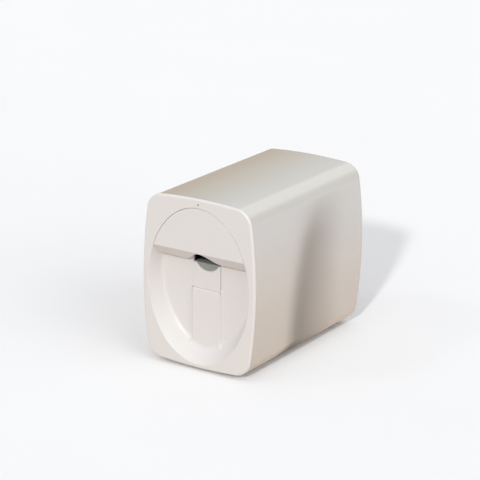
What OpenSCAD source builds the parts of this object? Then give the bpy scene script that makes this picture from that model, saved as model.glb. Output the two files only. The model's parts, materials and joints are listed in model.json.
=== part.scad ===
// Digital nail art printer for one finger at a time. The fingertip goes under the hood into a cradle, a camera
// above finds the nail, and an inkjet cartridge on a two-axis stage prints on it.
// Millimetres. +X is right, +Y is back and +Z is up; the origin is on the table under the middle of the body.

/* [Body] */
// Width of the body across its bulged sides
body_w = 110; // [108:0.5:114]
// Height of the body without its feet
body_h = 145; // [143:0.5:152]
// Depth of the body from the front face to the rear rim
body_d = 171; // [168:1:190]
// Radius of the bulged sides
side_r = 396; // [300:1:700]
// Radius of the bulged top and bottom
top_r = 466; // [350:1:800]
// Radius of the four long corners
corner_r = 15; // [13:0.5:17]
// Wall of the sleeve
sleeve_wall = 2; // [1.6:0.1:2.2]
// Height of the rubber feet
foot_h = 2; // [1.5:0.1:4]
// Radius of the rubber feet
foot_r = 6; // [4:0.5:9]
// Distance of the feet from the middle plane
foot_x = 30; // [24:1:34]
// Distance of the feet from the front and rear faces
foot_end = 21; // [15:1:24]

/* [Front panel] */
// Rounding of the panel's outer edge
edge_r = 1.5; // [0.8:0.1:1.9]
// Thickness of the flange that covers the sleeve's front end
flange_t = 2.2; // [2:0.1:3]
// Wall of the spigot that plugs into the sleeve
spigot_wall = 1.6; // [1.2:0.1:2]
// Wall of the recess and of the hood's pocket
recess_wall = 1.6; // [1.2:0.1:1.8]
// Thickness of the recess floor
floor_t = 2; // [1.5:0.1:2.5]
// Bezel left between the recess and the body's side
bezel_side = 5.5; // [5.2:0.1:6.5]
// Bezel left between the recess and the body's top and bottom
bezel_end = 5.5; // [5.2:0.1:6.5]
// How far the recess centre lies below the middle of the body
recess_drop = 2; // [1.4:0.1:2.2]
// Depth of the recess
recess_depth = 13.8; // [13.4:0.1:14.5]
// How far the recess wall leans in at the sides
draft_side = 4.9; // [3:0.1:6]
// How far the recess wall leans in at the bottom
draft_low = 12.7; // [10:0.1:14]

/* [Hood] */
// Height of the hood's front lower edge above the middle of the body
hood_edge_up = 26.7; // [26:0.1:28]
// Height of the hood's rear lip above the middle of the body
hood_lip_up = 17.6; // [17:0.1:18.6]
// Depth of the bevel between edge and lip
bevel_run = 8.2; // [6.5:0.1:9]
// Wall of the hood
hood_wall = 2; // [1.6:0.1:2.2]
// Depth of the hood's skirt
skirt_depth = 10.5; // [9.5:0.1:11]
// Seam round the hood
hood_gap = 0.3; // [0.2:0.05:0.5]
// Half width of the finger notch at the lip
notch_half = 18; // [15:0.5:20]
// Rise of the finger notch above the lip
notch_rise = 8.4; // [6:0.1:8.4]
// Radius of the hood's magnets
magnet_r = 3; // [2.5:0.1:3.2]
// Thickness of the hood's magnets
magnet_t = 2; // [1.5:0.1:2.5]

/* [Finger rest] */
// Half width of the tongue and of the slot above it
tongue_half = 13.6; // [13:0.1:14.5]
// Depth of the tongue's face behind the front face
tongue_depth = 11.3; // [10.8:0.1:11.6]
// Wall of the tongue
tongue_wall = 1.6; // [1.2:0.1:1.8]
// How far the tongue's ledge lies below the middle of the body
ledge_down = 7.4; // [5:0.1:9]
// Running gap round the finger rest
rest_gap = 0.35; // [0.25:0.05:0.5]
// Thickness of the finger rest's front plate
rest_plate = 2.2; // [1.8:0.1:2.6]
// Length of the cradle behind the front plate
cradle_len = 25; // [23:0.5:26]
// Radius of the scoop in the finger rest
cradle_r = 12.9; // [12.4:0.1:13.4]
// Height of the cradle's lowest line above the middle of the body
cradle_up = 8.3; // [7.8:0.1:9]
// Height of the cradle's side rims above the middle of the body
rim_up = 14.3; // [13:0.1:15]
// How far the silicone pad reaches under the edge of the scoop
pad_t = 1.2; // [0.8:0.1:1.5]
// Travel of the finger rest
rest_travel = 8; // [5:0.5:8.5]
// Radius of the rest's guide rods
guide_r = 1.5; // [1.2:0.1:1.8]
// Half distance between the rest's guide rods
guide_x = 8.5; // [8:0.1:9.2]
// Coil radius of the rest's spring
rest_coil_r = 3.4; // [3:0.1:3.8]

/* [Cartridge and carriage] */
// Height of the nozzle plane above the middle of the body
print_up = 27; // [26:0.1:28]
// Width of the cartridge
cart_w = 30; // [26:0.5:31]
// Length of the cartridge
cart_l = 34; // [32:0.5:35]
// Height of the cartridge without its nose
cart_h = 27; // [25:0.5:27.5]
// Height of the nose under the cartridge
nose_h = 3; // [2.8:0.1:3.4]
// Distance of the nozzle behind the cartridge's front
nozzle_in = 6; // [5.5:0.1:7]
// Wall of the carriage
carriage_wall = 1.7; // [1.4:0.1:1.9]
// Travel of the carriage to each side
x_travel = 18; // [12:0.5:18.5]
// Forward travel of the stage
y_travel = 23; // [20:0.5:23.5]

/* [Stage] */
// Radius of the two long guide rods
y_rod_r = 2.5; // [2:0.1:2.8]
// Radius of the two cross rods
x_rod_r = 2; // [1.6:0.1:2.3]
// Height between the two cross rods
x_rod_pitch = 15; // [14:0.5:16]
// Radius of the lead screw
screw_r = 2.5; // [2:0.1:2.8]
// Distance of the lead screw from the middle plane
screw_x = 28; // [26.5:0.5:30]
// Radius of the belt pulleys
pulley_r = 5.5; // [4.5:0.1:5.7]
// Width of the belt
belt_w = 4; // [3:0.1:4.2]
// Thickness of the belt
belt_t = 1.2; // [0.8:0.1:1.3]
// Radius of the cross motor
x_motor_r = 9; // [7:0.5:9.5]
// Radius of the long motor
y_motor_r = 10; // [8:0.5:11]

/* [Frames and electronics] */
// Thickness of the chassis plates
plate_t = 2; // [1.5:0.1:2.2]
// Distance of the front frame behind the front face
front_frame_back = 19; // [18.5:0.1:20]
// Distance of the rear frame behind the front face
rear_frame_back = 125; // [122:1:128]
// Length of the main board
board_l = 102; // [90:1:104]
// Width of the main board
board_w = 60; // [56:1:64]
// Thickness of the main board
board_t = 1.6; // [1:0.1:2]
// Height of the main board's standoffs
standoff_h = 5.5; // [4:0.5:7]

/* [Rear panel] */
// Thickness of the rear panel
rear_t = 2.5; // [2:0.1:3]
// How deep the rear panel lies inside the sleeve's rim
rear_inset = 3; // [2:0.1:4]
// Radius of the power button
button_r = 6; // [4.5:0.1:7]
// Travel of the power button
button_travel = 1.5; // [0.8:0.1:1.6]
// Distance of the button and the power inlet from the middle plane
port_x = 20; // [18:0.5:22]
// Number of vent slots
vent_count = 9; // [5:2:11]
// Radius of the status light's hole
light_r = 0.65; // [0.5:0.05:0.8]

/* [Hidden] */

// Clearances
spigot_gap = 0.2;
slip = 0.3; // between pieces that pass each other
run = 0.05; // of a shaft in its bearing, at the radius
eps = 0.01; // overshoot of a cut

// Places that the pieces share
mid_z = foot_h + body_h / 2;
front_y = -body_d / 2;
rear_y = body_d / 2;
print_z = mid_z + print_up;
nozzle_y = front_y + recess_depth + floor_t + slip + y_travel + nozzle_in;
cart_front = nozzle_y - nozzle_in;
cart_back = cart_front + cart_l;
frame_front = front_y + front_frame_back;
frame_rear = front_y + rear_frame_back;

// Ellipse of the recess and the hood
rim_a = body_w / 2 - bezel_side;
rim_b = body_h / 2 - bezel_end;
rim_z = mid_z - recess_drop;
hood_edge_z = mid_z + hood_edge_up;
lip_z = mid_z + hood_lip_up;
lip_depth = recess_depth - slip;
ledge_depth = skirt_depth + 0.2;
ledge_t = 2;
keeper_in = 1.2; // depth of the keeper plates' seats in the ledge
ledge_w = 8;
lip_tall = 2.5; // height of the hood's deep lip above its wall
sill_z = lip_z + hood_wall + lip_tall + 0.5; // top of the recess floor behind the hood's lip
pocket_z = hood_edge_z + 0.5; // where the pocket's straight walls start
pocket_step = 0.05; // the pocket is that much wider than the leaning wall at the face
panel_deep = 20; // past everything behind the front panel's face
magnet_in = 4.6; // distance of the magnets inside the rim
magnet_at = 40; // their angle from the top of the hood
magnet_x = (rim_a - magnet_in) * sin(magnet_at);
magnet_z = rim_z + (rim_b - magnet_in) * cos(magnet_at);
light_z = mid_z + body_h / 2 - sleeve_wall - spigot_gap - spigot_wall - light_r - run;

// Finger rest
ledge_z = mid_z - ledge_down;
rest_half = tongue_half - rest_gap;
rest_y = front_y + tongue_depth + tongue_wall + slip;
scoop_z = mid_z + cradle_up + cradle_r;
rest_top = mid_z + rim_up;
rest_low = ledge_z - 11;
cradle_y1 = rest_y + cradle_len;
cradle_low = mid_z + cradle_up - 3.5;
guide_y = rest_y + cradle_len * 0.55;
guide_boss_r = 3.3;
guide_top = cradle_low - rest_travel + 1;
guide_hole_top = cradle_low + 2;
bracket_z = foot_h + 31;
bracket_t = 4;
spring_wire = 0.45;
spring_low = bracket_z + bracket_t;
spring_high = ledge_z - 1;
tongue_low = rim_z - rim_b + 12;
tongue_flare = 6; // how far the tongue's lower end widens to each side
tongue_foot = 1.4; // width of the foot along the tongue's sides
bracket_half = rest_half + 3;
bracket_tab = 5;
rest_bay_half = bracket_half + bracket_tab + 0.75; // gap in the front frame round the rest's carrier

// Corner centre of the outline: it touches a side arc and an end arc from inside
side_c = body_w / 2 - side_r;
top_c = body_h / 2 - top_r;
arc_gap = norm([side_c, top_c]);
arc_a = (pow(side_r - corner_r, 2) - pow(top_r - corner_r, 2) + pow(arc_gap, 2)) / (2 * arc_gap);
arc_h = sqrt(pow(side_r - corner_r, 2) - pow(arc_a, 2));
corner_c = [
    side_c - arc_a * side_c / arc_gap + arc_h * -top_c / arc_gap,
    arc_a * top_c / arc_gap + arc_h * -side_c / arc_gap
];
side_turn = atan2(corner_c[1], corner_c[0] - side_c);
top_turn = atan2(corner_c[1] - top_c, corner_c[0]);
boss_pull = 8.5; // distance of the corner bosses from the corner centres
boss_x = corner_c[0] + boss_pull * cos(47);
boss_up = corner_c[1] + boss_pull * sin(47);
boss_r = 3;
rear_boss_x = boss_x + 1.2; // the rear ones lie further out, clear of the sleeve's wall
rear_boss_up = boss_up + 1.2;
screw_shank = 1.4;
screw_head = 2.6;
head_t = 1.6;
grip = 6; // how far a screw reaches into its boss

// Chassis
inner_floor = foot_h + sleeve_wall;
base_z = inner_floor + 2.6;
base_top = base_z + plate_t;
base_half = corner_c[0] + 5;
base_y0 = frame_front + run;
base_y1 = rear_y - rear_inset - rear_t - 2;
mount_x = 30;
mount_y = [front_y + 37, rear_y - 37];
bay_half = cart_w / 2 + slip + carriage_wall + x_travel + 3;
bay_low = print_z - 4;
ceiling_z = mid_z + body_h / 2 - 8.5;
bay_high = ceiling_z - 2.5;
frame_inset = 2.6;
tab_l = 9; // feet of the two frames
tab_screw = 5.5;
front_tab_x = boss_x - screw_head - slip; // beside the heads of the lower front screws

// Stage
y_rod_x = body_w / 2 - 13;
y_rod_z = print_z + 1.5;
bush_wall = 1.5;
block_half = 5.5;
block_in = y_rod_x - block_half;
pulley_x = block_in - pulley_r - 3; // room for flange and belt beside the stage's block
x_rod_y = cart_back + 8;
x_rod_z = print_z + 9.5;
block_y0 = x_rod_y - 8;
stage_low = y_rod_z - y_rod_r - 3;
stage_high = x_rod_z + x_rod_pitch + x_rod_r + 4;
back_y = x_rod_y + 12;
bearing_back = x_rod_y + 4.5; // rear of the carriage's bearing block
screw_z = print_z - 8.5;
screw_y1 = frame_rear - 7;
pulley_z = x_rod_z + x_rod_pitch / 2;
pulley_y = back_y - 1 - belt_w / 2 - 0.8;
belt_r = pulley_r + 0.2;
motor_shaft_r = 1;
idler_pin_r = 1.5;

// Carriage
carriage_half = cart_w / 2 + slip + carriage_wall;
carriage_low = print_z + 0.8;
carriage_high = print_z + nose_h + cart_h + 1.5;
nose_half = 8;
nose_l = 10;
nozzle_t = 0.3;
block_front = cart_back + slip + 3;
bearing_half = 15;
clamp_half = 2.8;
latch_pin_r = 1;
latch_y = cart_back + 1.8;
latch_z = carriage_high + 0.6;
latch_arm = 15;
latch_t = 1.6;

// Camera and lights
camera_y = front_y + 29.5;

// Rear end
panel_y0 = rear_y - rear_inset - rear_t;
panel_y1 = rear_y - rear_inset;
board_z = base_top + standoff_h;
board_y1 = panel_y0 - 7.5;
board_y0 = board_y1 - board_l;
board_top = board_z + board_t;
port_z = board_top + 5.5;
inlet_r = 2.75;
inlet_pin_r = 1;
inlet_l = 14;
button_flange = 1.2;
stem_r = 1.6;
switch_y1 = panel_y0 - 9.5;
switch_l = 8;
board_screw_y = [board_y0 + 4, switch_y1 - switch_l - screw_head - slip];
button_coil_r = 3.4;
button_wire = 0.3;

plastic_white = [0.89, 0.87, 0.85];
pearl = [0.81, 0.80, 0.77];
steel = [0.72, 0.73, 0.75];
dark = [0.16, 0.16, 0.17];
brass = [0.80, 0.66, 0.36];
green = [0.10, 0.36, 0.22];

// Points on an arc, without the last one
function arc_points(c, r, a0, a1, n) =
    [for (i = [0:n - 1]) let (a = a0 + (a1 - a0) * i / n) [c[0] + r * cos(a), c[1] + r * sin(a)]];

// Body outline in X and Z, moved in by some distance
function body_outline(inset = 0) =
    let (
        s = side_turn, t = top_turn, x = corner_c[0], z = corner_c[1],
        sr = side_r - inset, tr = top_r - inset, cr = corner_r - inset,
        pts = concat(
            arc_points([side_c, 0], sr, -s, s, 12),
            arc_points([x, z], cr, s, t, 10),
            arc_points([0, top_c], tr, t, 180 - t, 12),
            arc_points([-x, z], cr, 180 - t, 180 - s, 10),
            arc_points([-side_c, 0], sr, 180 - s, 180 + s, 12),
            arc_points([-x, -z], cr, 180 + s, 180 + t, 10),
            arc_points([0, -top_c], tr, 180 + t, 360 - t, 12),
            arc_points([x, -z], cr, 360 - t, 360 - s, 10)
        )
    )
    [for (p = pts) [p[0], p[1] + mid_z]];

// Ellipse round the recess centre in X and Z
function rim_points(a, b, n = 96) = [for (i = [0:n - 1]) [a * cos(i * 360 / n), rim_z + b * sin(i * 360 / n)]];

// Solid between two depths, from a shape drawn in X and Z
module along_y(y0, y1) {
    translate([0, y1, 0])
        rotate([90, 0, 0])
            linear_extrude(y1 - y0)
                children();
}

// Round bar or disc along Y
module bar_y(x, z, r, y0, y1, fn = 48) {
    translate([x, y1, z])
        rotate([90, 0, 0])
            cylinder(r = r, h = y1 - y0, $fn = fn);
}

// Round bar along X
module bar_x(y, z, r, x0, x1, fn = 48) {
    translate([x0, y, z])
        rotate([0, 90, 0])
            cylinder(r = r, h = x1 - x0, $fn = fn);
}

// Round bar standing up
module bar_z(x, y, r, z0, z1, fn = 48) {
    translate([x, y, z0])
        cylinder(r = r, h = z1 - z0, $fn = fn);
}

// Box between two corners
module block(lo, hi) {
    translate(lo)
        cube(hi - lo);
}

// Closed skin through rings of equal length; each ring is a depth and its points in X and Z
module skin(rings) {
    n = len(rings[0][1]);
    m = len(rings);
    points = [for (k = rings) for (p = k[1]) [p[0], k[0], p[1]]];
    sides = [for (j = [0:m - 2]) for (i = [0:n - 1])
        let (a = j * n + i, b = j * n + (i + 1) % n, c = a + n, d = b + n)
        each [[a, b, d], [a, d, c]]];
    polyhedron(points, concat([[for (i = [n - 1:-1:0]) i]], sides, [[for (i = [0:n - 1]) (m - 1) * n + i]]));
}

// Helical spring along Z: eight rings a curl, six sides, flat ends where it is seated
module coil(r, wire, z0, z1, curls) {
    rings = curls * 8;
    path = [for (i = [0:rings])
        [r * cos(i * 45), r * sin(i * 45), z0 + wire + (z1 - z0 - 2 * wire) * i / rings]];
    points = [for (i = [0:rings]) for (k = [0:5])
        let (out = wire * cos(k * 60), up = wire * sin(k * 60))
        [path[i][0] + out * cos(i * 45), path[i][1] + out * sin(i * 45), path[i][2] + up]];
    sides = [for (i = [0:rings - 1]) for (k = [0:5])
        let (a = i * 6 + k, b = i * 6 + (k + 1) % 6, c = a + 6, d = b + 6)
        each [[a, b, d], [a, d, c]]];
    polyhedron(points, concat([[5, 4, 3, 2, 1, 0]], sides, [[for (k = [0:5]) rings * 6 + k]]));
}

// Least gap between neighbouring curls of a spring
function coil_gap(wire, z0, z1, curls) = (z1 - z0 - 2 * wire) / curls - 2 * wire;
echo(rest_spring_gap = coil_gap(spring_wire, spring_low, spring_high, 8));
echo(button_spring_gap = coil_gap(button_wire, switch_y1, panel_y0 - slip - button_flange, 5));

// Pieces of the body

module outer_sleeve() {
    color(pearl)
        difference() {
            union() {
                difference() {
                    along_y(front_y + flange_t, rear_y) polygon(body_outline());
                    along_y(front_y, rear_y + 1) polygon(body_outline(sleeve_wall));
                }
                for (x = [-1, 1], z = [-1, 1])
                    intersection() {
                        along_y(front_y + flange_t, panel_y0) polygon(body_outline(sleeve_wall / 2));
                        bar_y(x * rear_boss_x, mid_z + z * rear_boss_up, boss_r, panel_y0 - 12, panel_y0);
                    }
                for (x = [-1, 1], y = mount_y)
                    bar_z(x * mount_x, y, 4, inner_floor + 0.2, base_z);
            }
            for (x = [-1, 1], z = [-1, 1])
                bar_y(x * rear_boss_x, mid_z + z * rear_boss_up, screw_shank, panel_y0 - grip, panel_y0 + 1);
            for (x = [-1, 1], y = mount_y) {
                bar_z(x * mount_x, y, screw_shank, foot_h, base_z + 1);
                bar_z(x * mount_x, y, screw_head + slip, 0, foot_h + 2.6);
            }
        }
}

module rubber_feet() {
    color(dark)
        difference() {
            for (x = [-1, 1], y = [front_y + foot_end, rear_y - foot_end])
                bar_z(x * foot_x, y, foot_r, 0, inner_floor);
            along_y(front_y, rear_y) polygon(body_outline());
        }
}

// Ring of the recess at some depth: its wall leans in down to the floor, most at the bottom
function lean_ring(grow, depth) =
    let (f = max(0, min(1, depth / recess_depth)), low = draft_low / 2 * f)
    [front_y + depth, [for (p = rim_points(rim_a + grow - draft_side * f, rim_b + grow - low)) [p[0], p[1] + low]]];

// Recess with its leaning walls between two depths
module lean_body(grow, depth0, depth1) {
    skin([for (d = [depth0, max(0, depth0 + 0.1), min(recess_depth, depth1 - 0.1), depth1]) lean_ring(grow, d)]);
}

// Leaning recess below one height and the hood's straight pocket above another
module recess_form(grow, depth0, lean_depth1, lean_top, pocket_depth1, pocket_low) {
    intersection() {
        lean_body(grow, depth0, lean_depth1);
        block([-body_w, front_y - panel_deep, 0], [body_w, front_y + panel_deep, lean_top]);
    }
    intersection() {
        along_y(front_y + depth0, front_y + pocket_depth1)
            polygon(rim_points(rim_a + grow + pocket_step, rim_b + grow + pocket_step));
        block([-body_w, front_y - panel_deep, pocket_low], [body_w, front_y + panel_deep, body_h * 2]);
    }
}

// Tongue seen from the front: straight sides with a flared foot
module tongue_shape(grow, top) {
    flare = tongue_flare;
    foot = tongue_low - 9;
    polygon(concat(
        [[tongue_half + grow, top], [-tongue_half - grow, top]],
        [for (i = [0:6]) [
            -tongue_half - grow - flare * (1 - cos(i * 15)),
            tongue_low + flare - flare * sin(i * 15)
        ]],
        [[-tongue_half - flare, foot], [tongue_half + flare, foot]],
        [for (i = [6:-1:0]) [
            tongue_half + grow + flare * (1 - cos(i * 15)),
            tongue_low + flare - flare * sin(i * 15)
        ]]
    ));
}

// Shell of the front panel: flange with a rounded edge, spigot, recess, hood pocket and bosses
module panel_shell() {
    skin([for (a = [0:22.5:90])
            [front_y + edge_r * (1 - cos(a)), body_outline(edge_r * (1 - sin(a)))],
        [front_y + flange_t, body_outline()]]);
    intersection() {
        union() {
            difference() {
                along_y(front_y + flange_t / 2, frame_front) polygon(body_outline());
                along_y(front_y + flange_t, frame_front + 1)
                    polygon(body_outline(sleeve_wall + spigot_gap + spigot_wall));
            }
            recess_form(recess_wall, 0.5, recess_depth + floor_t, pocket_z,
                ledge_depth + ledge_t, pocket_z - recess_wall);
            for (x = [-1, 1], z = [-1, 1])
                bar_y(x * boss_x, mid_z + z * boss_up, boss_r, front_y + 1, frame_front);
        }
        along_y(front_y + 0.3, frame_front) polygon(body_outline(sleeve_wall + spigot_gap));
    }
}

// Fixed tongue in the recess, hollow behind for the finger rest, on a foot beside the rest's slot
module tongue() {
    edge = 0.4;
    back = rest_y - slip;
    intersection() {
        lean_body(recess_wall / 2, 0.5, recess_depth + floor_t - 0.3);
        difference() {
            union() {
                along_y(front_y + tongue_depth, front_y + tongue_depth + 2 * edge)
                    tongue_shape(-edge, ledge_z - edge);
                along_y(front_y + tongue_depth + edge, back + edge)
                    tongue_shape(0, ledge_z);
                along_y(back - tongue_wall / 2, front_y + recess_depth + floor_t / 2)
                    tongue_shape(tongue_foot, ledge_z);
            }
            block([-tongue_half, back, rest_low - rest_travel - 1], [tongue_half, front_y + panel_deep, mid_z]);
        }
    }
}

module front_panel() {
    color(plastic_white)
        difference() {
            panel_shell();
            recess_form(0, -1, recess_depth, pocket_z, ledge_depth, pocket_z);
            // Way into the print bay behind the hood
            difference() {
                intersection() {
                    along_y(front_y, front_y + panel_deep) polygon(rim_points(rim_a - ledge_w, rim_b - ledge_w));
                    block([-body_w, front_y, sill_z], [body_w, front_y + panel_deep, body_h * 2]);
                }
                for (x = [-1, 1])
                    bar_y(x * magnet_x, magnet_z, magnet_r + 2, front_y, front_y + panel_deep);
            }
            for (x = [-1, 1])
                bar_y(x * magnet_x, magnet_z, magnet_r + 0.5, front_y, front_y + ledge_depth + keeper_in);
            // Slot for the finger rest, behind the tongue too
            block([-tongue_half, rest_y - slip, rest_low - rest_travel - 1],
                [tongue_half, front_y + panel_deep, sill_z + 1]);
            bar_y(0, light_z, light_r, front_y - 1, frame_front + 1);
            for (x = [-1, 1], z = [-1, 1])
                bar_y(x * boss_x, mid_z + z * boss_up, screw_shank, frame_front - grip, frame_front + 1);
        }
    color(plastic_white)
        tongue();
}

module status_light_pipe() {
    color([0.95, 0.97, 1])
        bar_y(0, light_z, light_r - 0.02, front_y + 0.15, frame_front - 2.4);
}

module indicator_board() {
    color(green)
        union() {
            block([-4, frame_front - 1.4, light_z - 3], [4, frame_front, light_z + light_r - run]);
            bar_y(0, light_z, light_r - run, frame_front - 2.2, frame_front - 1.4);
        }
}

module rear_panel() {
    color(plastic_white)
        difference() {
            along_y(panel_y0, panel_y1) polygon(body_outline(sleeve_wall + spigot_gap));
            for (i = [0:vent_count - 1])
                along_y(panel_y0 - 1, panel_y1 + 1)
                    translate([(i - (vent_count - 1) / 2) * 6, mid_z + 22])
                        union() {
                            square([2.4, 34], center = true);
                            for (z = [-17, 17])
                                translate([0, z]) circle(r = 1.2, $fn = 24);
                        }
            bar_y(port_x, port_z, button_r + slip, panel_y0 - 1, panel_y1 + 1);
            bar_y(-port_x, port_z, inlet_r + 1.2, panel_y0 - 1, panel_y1 + 1);
            for (x = [-1, 1], z = [-1, 1])
                bar_y(x * rear_boss_x, mid_z + z * rear_boss_up, screw_shank, panel_y0 - 1, panel_y1 + 1);
        }
}

module base_plate() {
    color(steel)
        difference() {
            block([-base_half, base_y0, base_z], [base_half, base_y1, base_top]);
            for (x = [-1, 1], y = mount_y)
                bar_z(x * mount_x, y, screw_shank, base_z - 1, base_top + 1);
        }
}

// Pieces of the hood

// Hood in Y and Z: face, bevel, deep lip that clears the floor, then the skirt
module hood_profile(inset) {
    back = inset > 0 ? 1 : 0;
    high = body_h * 2;
    polygon([
        [front_y + inset, high],
        [front_y + inset, hood_edge_z + inset * 0.3],
        [front_y + bevel_run + inset * 0.7, lip_z + inset],
        [front_y + lip_depth + back, lip_z + inset],
        [front_y + lip_depth + back, lip_z + 0.5 + inset],
        [front_y + skirt_depth + back, lip_z + lip_tall + inset],
        [front_y + skirt_depth + back, high]
    ]);
}

// Solid along X from a shape drawn in Y and Z
module along_x(x0, x1) {
    translate([x0, 0, 0])
        rotate([90, 0, 90])
            linear_extrude(x1 - x0)
                children();
}

module hood_cover() {
    bell = [for (x = [-notch_half:notch_half / 12:notch_half])
        [x, lip_z + notch_rise * (0.5 + 0.5 * cos(180 * x / notch_half))]];
    color(plastic_white)
        difference() {
            union() {
                difference() {
                    intersection() {
                        recess_form(-hood_gap, 0, lip_depth, pocket_z, lip_depth, pocket_z);
                        along_x(-body_w, body_w) hood_profile(0);
                    }
                    intersection() {
                        recess_form(-hood_gap - hood_wall, 0, panel_deep, pocket_z, panel_deep, pocket_z);
                        along_x(-body_w, body_w) hood_profile(hood_wall);
                    }
                }
                for (x = [-1, 1])
                    bar_y(x * magnet_x, magnet_z, magnet_r + 1, front_y + hood_wall / 2, front_y + skirt_depth);
            }
            for (x = [-1, 1])
                bar_y(x * magnet_x, magnet_z, magnet_r, front_y + skirt_depth - magnet_t, front_y + panel_deep);
            along_y(front_y - 1, front_y + panel_deep)
                polygon(concat([[-notch_half, lip_z - 3]], bell, [[notch_half, lip_z - 3]]));
        }
}

module hood_magnets() {
    color(steel)
        for (x = [-1, 1])
            bar_y(x * magnet_x, magnet_z, magnet_r, front_y + skirt_depth - magnet_t, front_y + skirt_depth);
}

module keeper_plates() {
    color(steel)
        for (x = [-1, 1])
            bar_y(x * magnet_x, magnet_z, magnet_r + 0.5, front_y + ledge_depth + 0.1, front_y + ledge_depth + keeper_in);
}

// Finger rest and its carrier

module finger_rest() {
    color(plastic_white)
        difference() {
            union() {
                block([-rest_half, rest_y, rest_low], [rest_half, rest_y + rest_plate, rest_top]);
                block([-rest_half, rest_y, cradle_low], [rest_half, cradle_y1, rest_top]);
                for (x = [-1, 1])
                    bar_z(x * guide_x, guide_y, guide_boss_r, rest_low + 4, cradle_low + 1);
                bar_z(0, guide_y, rest_coil_r + 1, spring_high, cradle_low + 1);
            }
            bar_y(0, scoop_z, cradle_r, rest_y - 1, cradle_y1 - 1.6);
            bar_y(0, scoop_z, cradle_r + pad_t, rest_y + 1.6, cradle_y1 - 1.6);
            for (x = [-1, 1])
                bar_z(x * guide_x, guide_y, guide_r + run, rest_low, guide_hole_top);
        }
}

module finger_pad() {
    color([0.61, 0.62, 0.60])
        intersection() {
            bar_y(0, scoop_z, cradle_r + pad_t, rest_y + 1.7, cradle_y1 - 1.7, 96);
            block([-rest_half + 0.4, rest_y, cradle_low], [rest_half - 0.4, cradle_y1, rest_top]);
        }
}

module rest_bracket() {
    half = bracket_half;
    color(steel)
        difference() {
            union() {
                block([-half, guide_y - 8, bracket_z], [half, guide_y + 8, bracket_z + bracket_t]);
                for (x = [-1, 1]) {
                    block([x > 0 ? half - 3 : -half, guide_y - 7, base_top],
                        [x > 0 ? half : -half + 3, guide_y + 7, bracket_z + eps]);
                    block([x > 0 ? half - 3 : -half - bracket_tab, guide_y - 7, base_top],
                        [x > 0 ? half + bracket_tab : -half + 3, guide_y + 7, base_top + plate_t]);
                }
                bar_z(0, guide_y, rest_coil_r - spring_wire - 0.6, bracket_z, bracket_z + bracket_t + 12);
            }
            for (x = [-1, 1])
                bar_z(x * guide_x, guide_y, guide_r, bracket_z - 1, bracket_z + bracket_t + 1);
        }
}

module rest_guide_rods() {
    color(steel)
        for (x = [-1, 1])
            bar_z(x * guide_x, guide_y, guide_r, bracket_z, guide_top);
}

module rest_spring() {
    color(steel)
        translate([0, guide_y, 0])
            coil(rest_coil_r, spring_wire, spring_low, spring_high, 8);
}

// Frames

module front_frame() {
    color(steel)
        difference() {
            union() {
                along_y(frame_front, frame_front + plate_t)
                    difference() {
                        polygon(body_outline(frame_inset));
                        translate([-bay_half, bay_low]) square([2 * bay_half, bay_high - bay_low]);
                        translate([-rest_bay_half, 0]) square([2 * rest_bay_half, bay_low + 1]);
                        translate([-body_w, 0]) square([2 * body_w, base_top]);
                    }
                for (x = [-1, 1])
                    block([x > 0 ? rest_bay_half + 3 : -front_tab_x, frame_front, base_top],
                        [x > 0 ? front_tab_x : -rest_bay_half - 3, frame_front + tab_l, base_top + plate_t]);
            }
            for (x = [-1, 1]) {
                bar_y(x * y_rod_x, y_rod_z, y_rod_r, frame_front - 1, frame_front + 5);
                bar_z(x * (base_half - 6), frame_front + tab_screw, screw_shank, base_z, base_top + 5);
                for (z = [-1, 1])
                    bar_y(x * boss_x, mid_z + z * boss_up, screw_shank, frame_front - 1, frame_front + 5);
            }
            bar_y(-screw_x, screw_z, screw_r + 1.5, frame_front - 1, frame_front + 5);
            bar_y(0, light_z, light_r + 0.3, frame_front - 1, frame_front + 5);
        }
}

module rear_frame() {
    color(steel)
        difference() {
            union() {
                along_y(frame_rear, frame_rear + plate_t)
                    difference() {
                        intersection() {
                            polygon(body_outline(frame_inset));
                            translate([-body_w, base_top]) square([2 * body_w, stage_high - base_top]);
                        }
                        translate([-board_w / 2 - 2, 0]) square([board_w + 4, board_top + 34]);
                    }
                for (x = [-1, 1])
                    block([x > 0 ? board_w / 2 + 2 : -base_half, frame_rear, base_top],
                        [x > 0 ? base_half : -board_w / 2 - 2, frame_rear + tab_l, base_top + plate_t]);
            }
            for (x = [-1, 1]) {
                bar_y(x * y_rod_x, y_rod_z, y_rod_r, frame_rear - 1, frame_rear + 5);
                bar_z(x * (base_half - 3.5), frame_rear + tab_screw, screw_shank, base_z, base_top + 5);
            }
            bar_y(-screw_x, screw_z, 3.2, frame_rear - 1, frame_rear + 5);
        }
}

module camera_bracket() {
    color(steel)
        difference() {
            union() {
                block([-20, frame_front + plate_t, ceiling_z - 1.5],
                    [20, frame_front + plate_t + 1.5, light_z]);
                block([-24, frame_front + plate_t, ceiling_z], [24, camera_y + 7.5, ceiling_z + 1.5]);
            }
            bar_z(0, camera_y, 2, ceiling_z - 1, ceiling_z + 3);
        }
}

module camera_module() {
    color(dark)
        union() {
            block([-5, camera_y - 4.5, ceiling_z - 2], [5, camera_y + 4.5, ceiling_z]);
            bar_z(0, camera_y, 1.9, ceiling_z - eps, ceiling_z + 2.4);
        }
}

module camera_lens() {
    color([0.2, 0.25, 0.3])
        translate([0, camera_y, ceiling_z - 3.5])
            rotate_extrude($fn = 48)
                polygon([[0, 0.5], [1.2, 0.4], [1.9, 0.1], [2.1, 0], [2.6, 0], [2.6, 1.5], [0, 1.5]]);
}

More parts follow.
